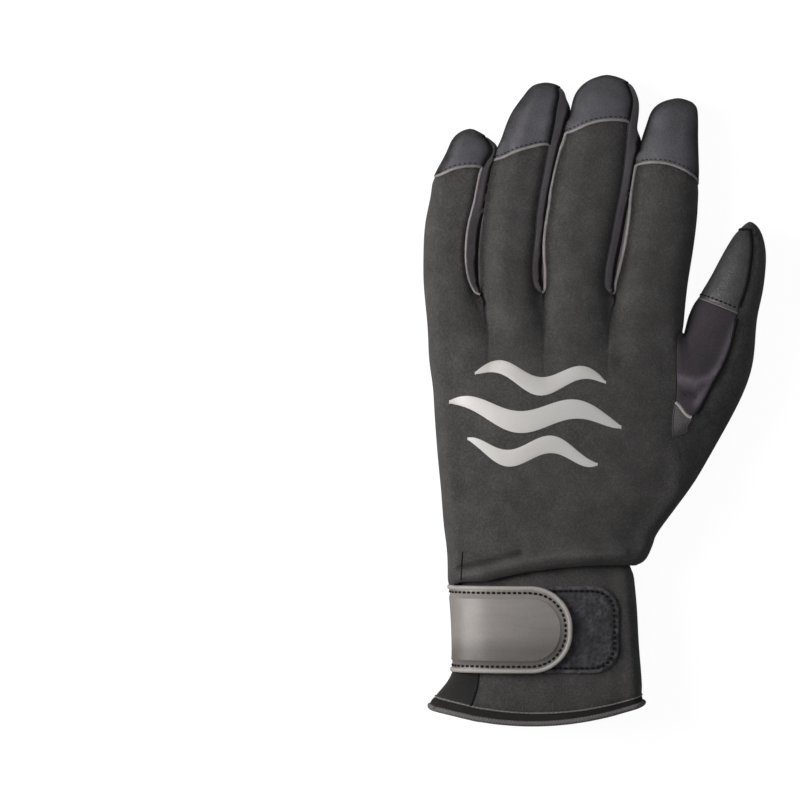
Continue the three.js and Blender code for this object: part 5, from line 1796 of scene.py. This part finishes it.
PALM_STITCHES = {"spacing": 2.4, "lift": 0.02, "width": 0.5}
PALM_ROWS = [((-62, 37.0), (33, 33.0)), ((-62, 34.6), (33, 30.6)), ((-62, 30.4), (33, 26.0))]
palm_rows = [stitch_row(palm_line(ends, 1.0), **PALM_STITCHES) for ends in PALM_ROWS]
palm_rows += [
    stitch_row(beside(line, PALM_STITCH, "palm_panel"), **PALM_STITCHES)
    for line in seam_lines("palm_panel", "cuff_underside", least=20)
]
thread("palm_stitches", palm_rows, GREY_THREAD)

# %% The tape under the cuff
SIDE_TAPE_PLACE = 3.0
SIDE_TAPE_WIDTH = 3.2
tape_parts = []
for line in seam_lines("hem_binding", "cuff_underside", least=30):
    spots, ups = settled(beside(line, SIDE_TAPE_PLACE, "cuff_underside"), 0.2)
    tape_parts.append(sweep_part(spots, ups, soft_profile(SIDE_TAPE_WIDTH, 0.5)))
dress(joined("cuff_tape", tape_parts), SIDE_TAPE)
print("ribbed tape:", len(tape_parts), "length")

# %% [markdown]
# ## The D-ring and its tab
# A short piece of webbing is folded round the ring's bar and sewn under the cuff. The ring's outline is
# drawn as a curve, given a round bevel and turned into a mesh, which keeps its wire even all round.

# %% The ring
RING_AT = (-41.0, -119.4, 3.8)
RING_WIRE = 1.0
RING_HALF_WIDTH = 8.6
RING_CORNER = 1.5
RING_DEPTH = 11.0
RING_BOW_Z = 1.05
ring_tilt = -math.asin((RING_AT[2] - RING_BOW_Z) / RING_DEPTH)


def ring_outline():
    inner = RING_HALF_WIDTH - RING_CORNER
    corner = [(inner + RING_CORNER * math.sin(a), RING_CORNER * (1 - math.cos(a)))
              for a in np.radians(np.arange(0, 91, 15))]
    bow_start = RING_DEPTH - RING_HALF_WIDTH
    bow = [(RING_HALF_WIDTH * math.cos(a), bow_start + RING_HALF_WIDTH * math.sin(a))
           for a in np.radians(np.arange(0, 181, 7.5))]
    bar = [(t * inner, 0) for t in (-0.5, 0, 0.5)]
    return bar + corner + bow + [(-x, y) for x, y in corner[::-1]]


curve = bpy.data.curves.new("d_ring_wire", "CURVE")
curve.dimensions = "3D"
curve.bevel_depth = RING_WIRE * MM
curve.bevel_resolution = 4
spline = curve.splines.new("POLY")
ring_points = ring_outline()
spline.points.add(len(ring_points) - 1)
for point, (x, y) in zip(spline.points, ring_points):
    point.co = (x * MM, y * MM, 0, 1)
spline.use_cyclic_u = True
ring = bpy.data.objects.new("d_ring_wire", curve)
bpy.context.scene.collection.objects.link(ring)
ring.location = Vector(RING_AT) * MM
ring.rotation_euler = (ring_tilt, 0, 0)
make_active(ring)
bpy.ops.object.convert(target="MESH")
bpy.ops.object.transform_apply(location=True, rotation=True, scale=True)
bpy.ops.object.shade_smooth()

RING, ring_tree, ring_shader = new_material("coated ring")
ring_place = add_node(ring_tree, "ShaderNodeTexCoord")
ring_shade = grouped(ring_tree, MOTTLE, {
    "Vector": ring_place.outputs["Object"], "Scale": 300.0, "Low": 0.22, "High": 0.36,
})
set_inputs(ring_tree, ring_shader, {
    "Base Color": (0.014, 0.014, 0.015, 1), "Roughness": ring_shade.outputs["Shade"],
})
dress(ring, RING, body="ring", node="d_ring")
print("ring of", len(ring.data.polygons), "faces")

# %% The tab
TAB_WIDTH = 14.6
TAB_WEBBING = 1.05
TAB_TURN = 1.9
TAB_LENGTH = 8.5
turns = np.radians(np.arange(90, 361, 12))
tab_side = [(y, TAB_TURN) for y in np.linspace(TAB_LENGTH, 0.4, 10)]
tab_side += [(TAB_TURN * math.cos(a), TAB_TURN * math.sin(a)) for a in turns]
tab_side += [(2.5, 0.42), (3.2, 0.72), (4.2, 0.8)] + [(y, 0.8) for y in np.linspace(5, TAB_LENGTH, 6)]
tab_side = np.array(tab_side)
tab_path = np.stack([np.full(len(tab_side), RING_AT[0]), RING_AT[1] + tab_side[:, 0],
                     RING_AT[2] + tab_side[:, 1]], axis=1)
slope = unit(np.gradient(tab_side, axis=0))
tab_ups = np.stack([np.zeros(len(slope)), -slope[:, 1], slope[:, 0]], axis=1)
tab_part = sweep_part(tab_path, tab_ups, soft_profile(TAB_WIDTH, TAB_WEBBING, 24, 0.3))
tab = joined("ring_tab_webbing", [tab_part])
print("tab of", len(tab.data.polygons), "faces")
dress(tab, TAPE, node="ring_tab")

# %% [markdown]
# ## The print on the back
# A silver print fills the middle of the back. Here it is three plain waves, cut from a fine grid: each
# column of the grid is moved to the wave's line and thickness, the sheet is laid on the back, and its
# edge is rounded down to the cloth, as a thick transfer print is.

# %% The print
PRINT_WAVES = [
    (-21.0, 9.0, 50.0, 7.0, 0.0),
    (-23.0, -5.0, 66.0, 8.5, 0.9),
    (-24.0, -19.0, 50.0, 7.0, 1.8),
]
PRINT_TILT = math.radians(-4)
PRINT_RISE = 3.2
PRINT_COLUMNS = 90
PRINT_ROWS = 8
PRINT_FILM = 0.16
PRINT_SINK = 1.2


def wave_print(number, x, y, length, width, phase):
    bpy.ops.mesh.primitive_grid_add(x_subdivisions=PRINT_COLUMNS, y_subdivisions=PRINT_ROWS, size=1)
    obj = bpy.context.object
    obj.name = f"print_wave_{number}"
    grid = np.array([v.co for v in obj.data.vertices])
    t = grid[:, 0] + 0.5
    taper = np.maximum(np.sin(math.pi * np.clip(t, 0.012, 0.988)), 0) ** 0.55
    u = grid[:, 0] * length
    v = grid[:, 1] * width * taper + PRINT_RISE * np.sin(2 * math.pi * 1.5 * t + phase)
    spots_x = x + u * math.cos(PRINT_TILT) - v * math.sin(PRINT_TILT)
    spots_y = y + u * math.sin(PRINT_TILT) + v * math.cos(PRINT_TILT)
    edge = 1 - (2 * np.abs(grid[:, 1])) ** 6
    points = []
    for px, py, e in zip(spots_x, spots_y, edge):
        hit, up, _, _ = skin_tree.ray_cast(Vector((px, py, ABOVE)), Vector((0, 0, -1)))
        points.append(hit + up * PRINT_FILM * max(e, 0.1))
    put_points(obj, points)
    dress_sheet(obj, PRINT_FILM * PRINT_SINK, SILVER)


for number, wave in enumerate(PRINT_WAVES, start=1):
    wave_print(number, *wave)
print(len(PRINT_WAVES), "printed waves")
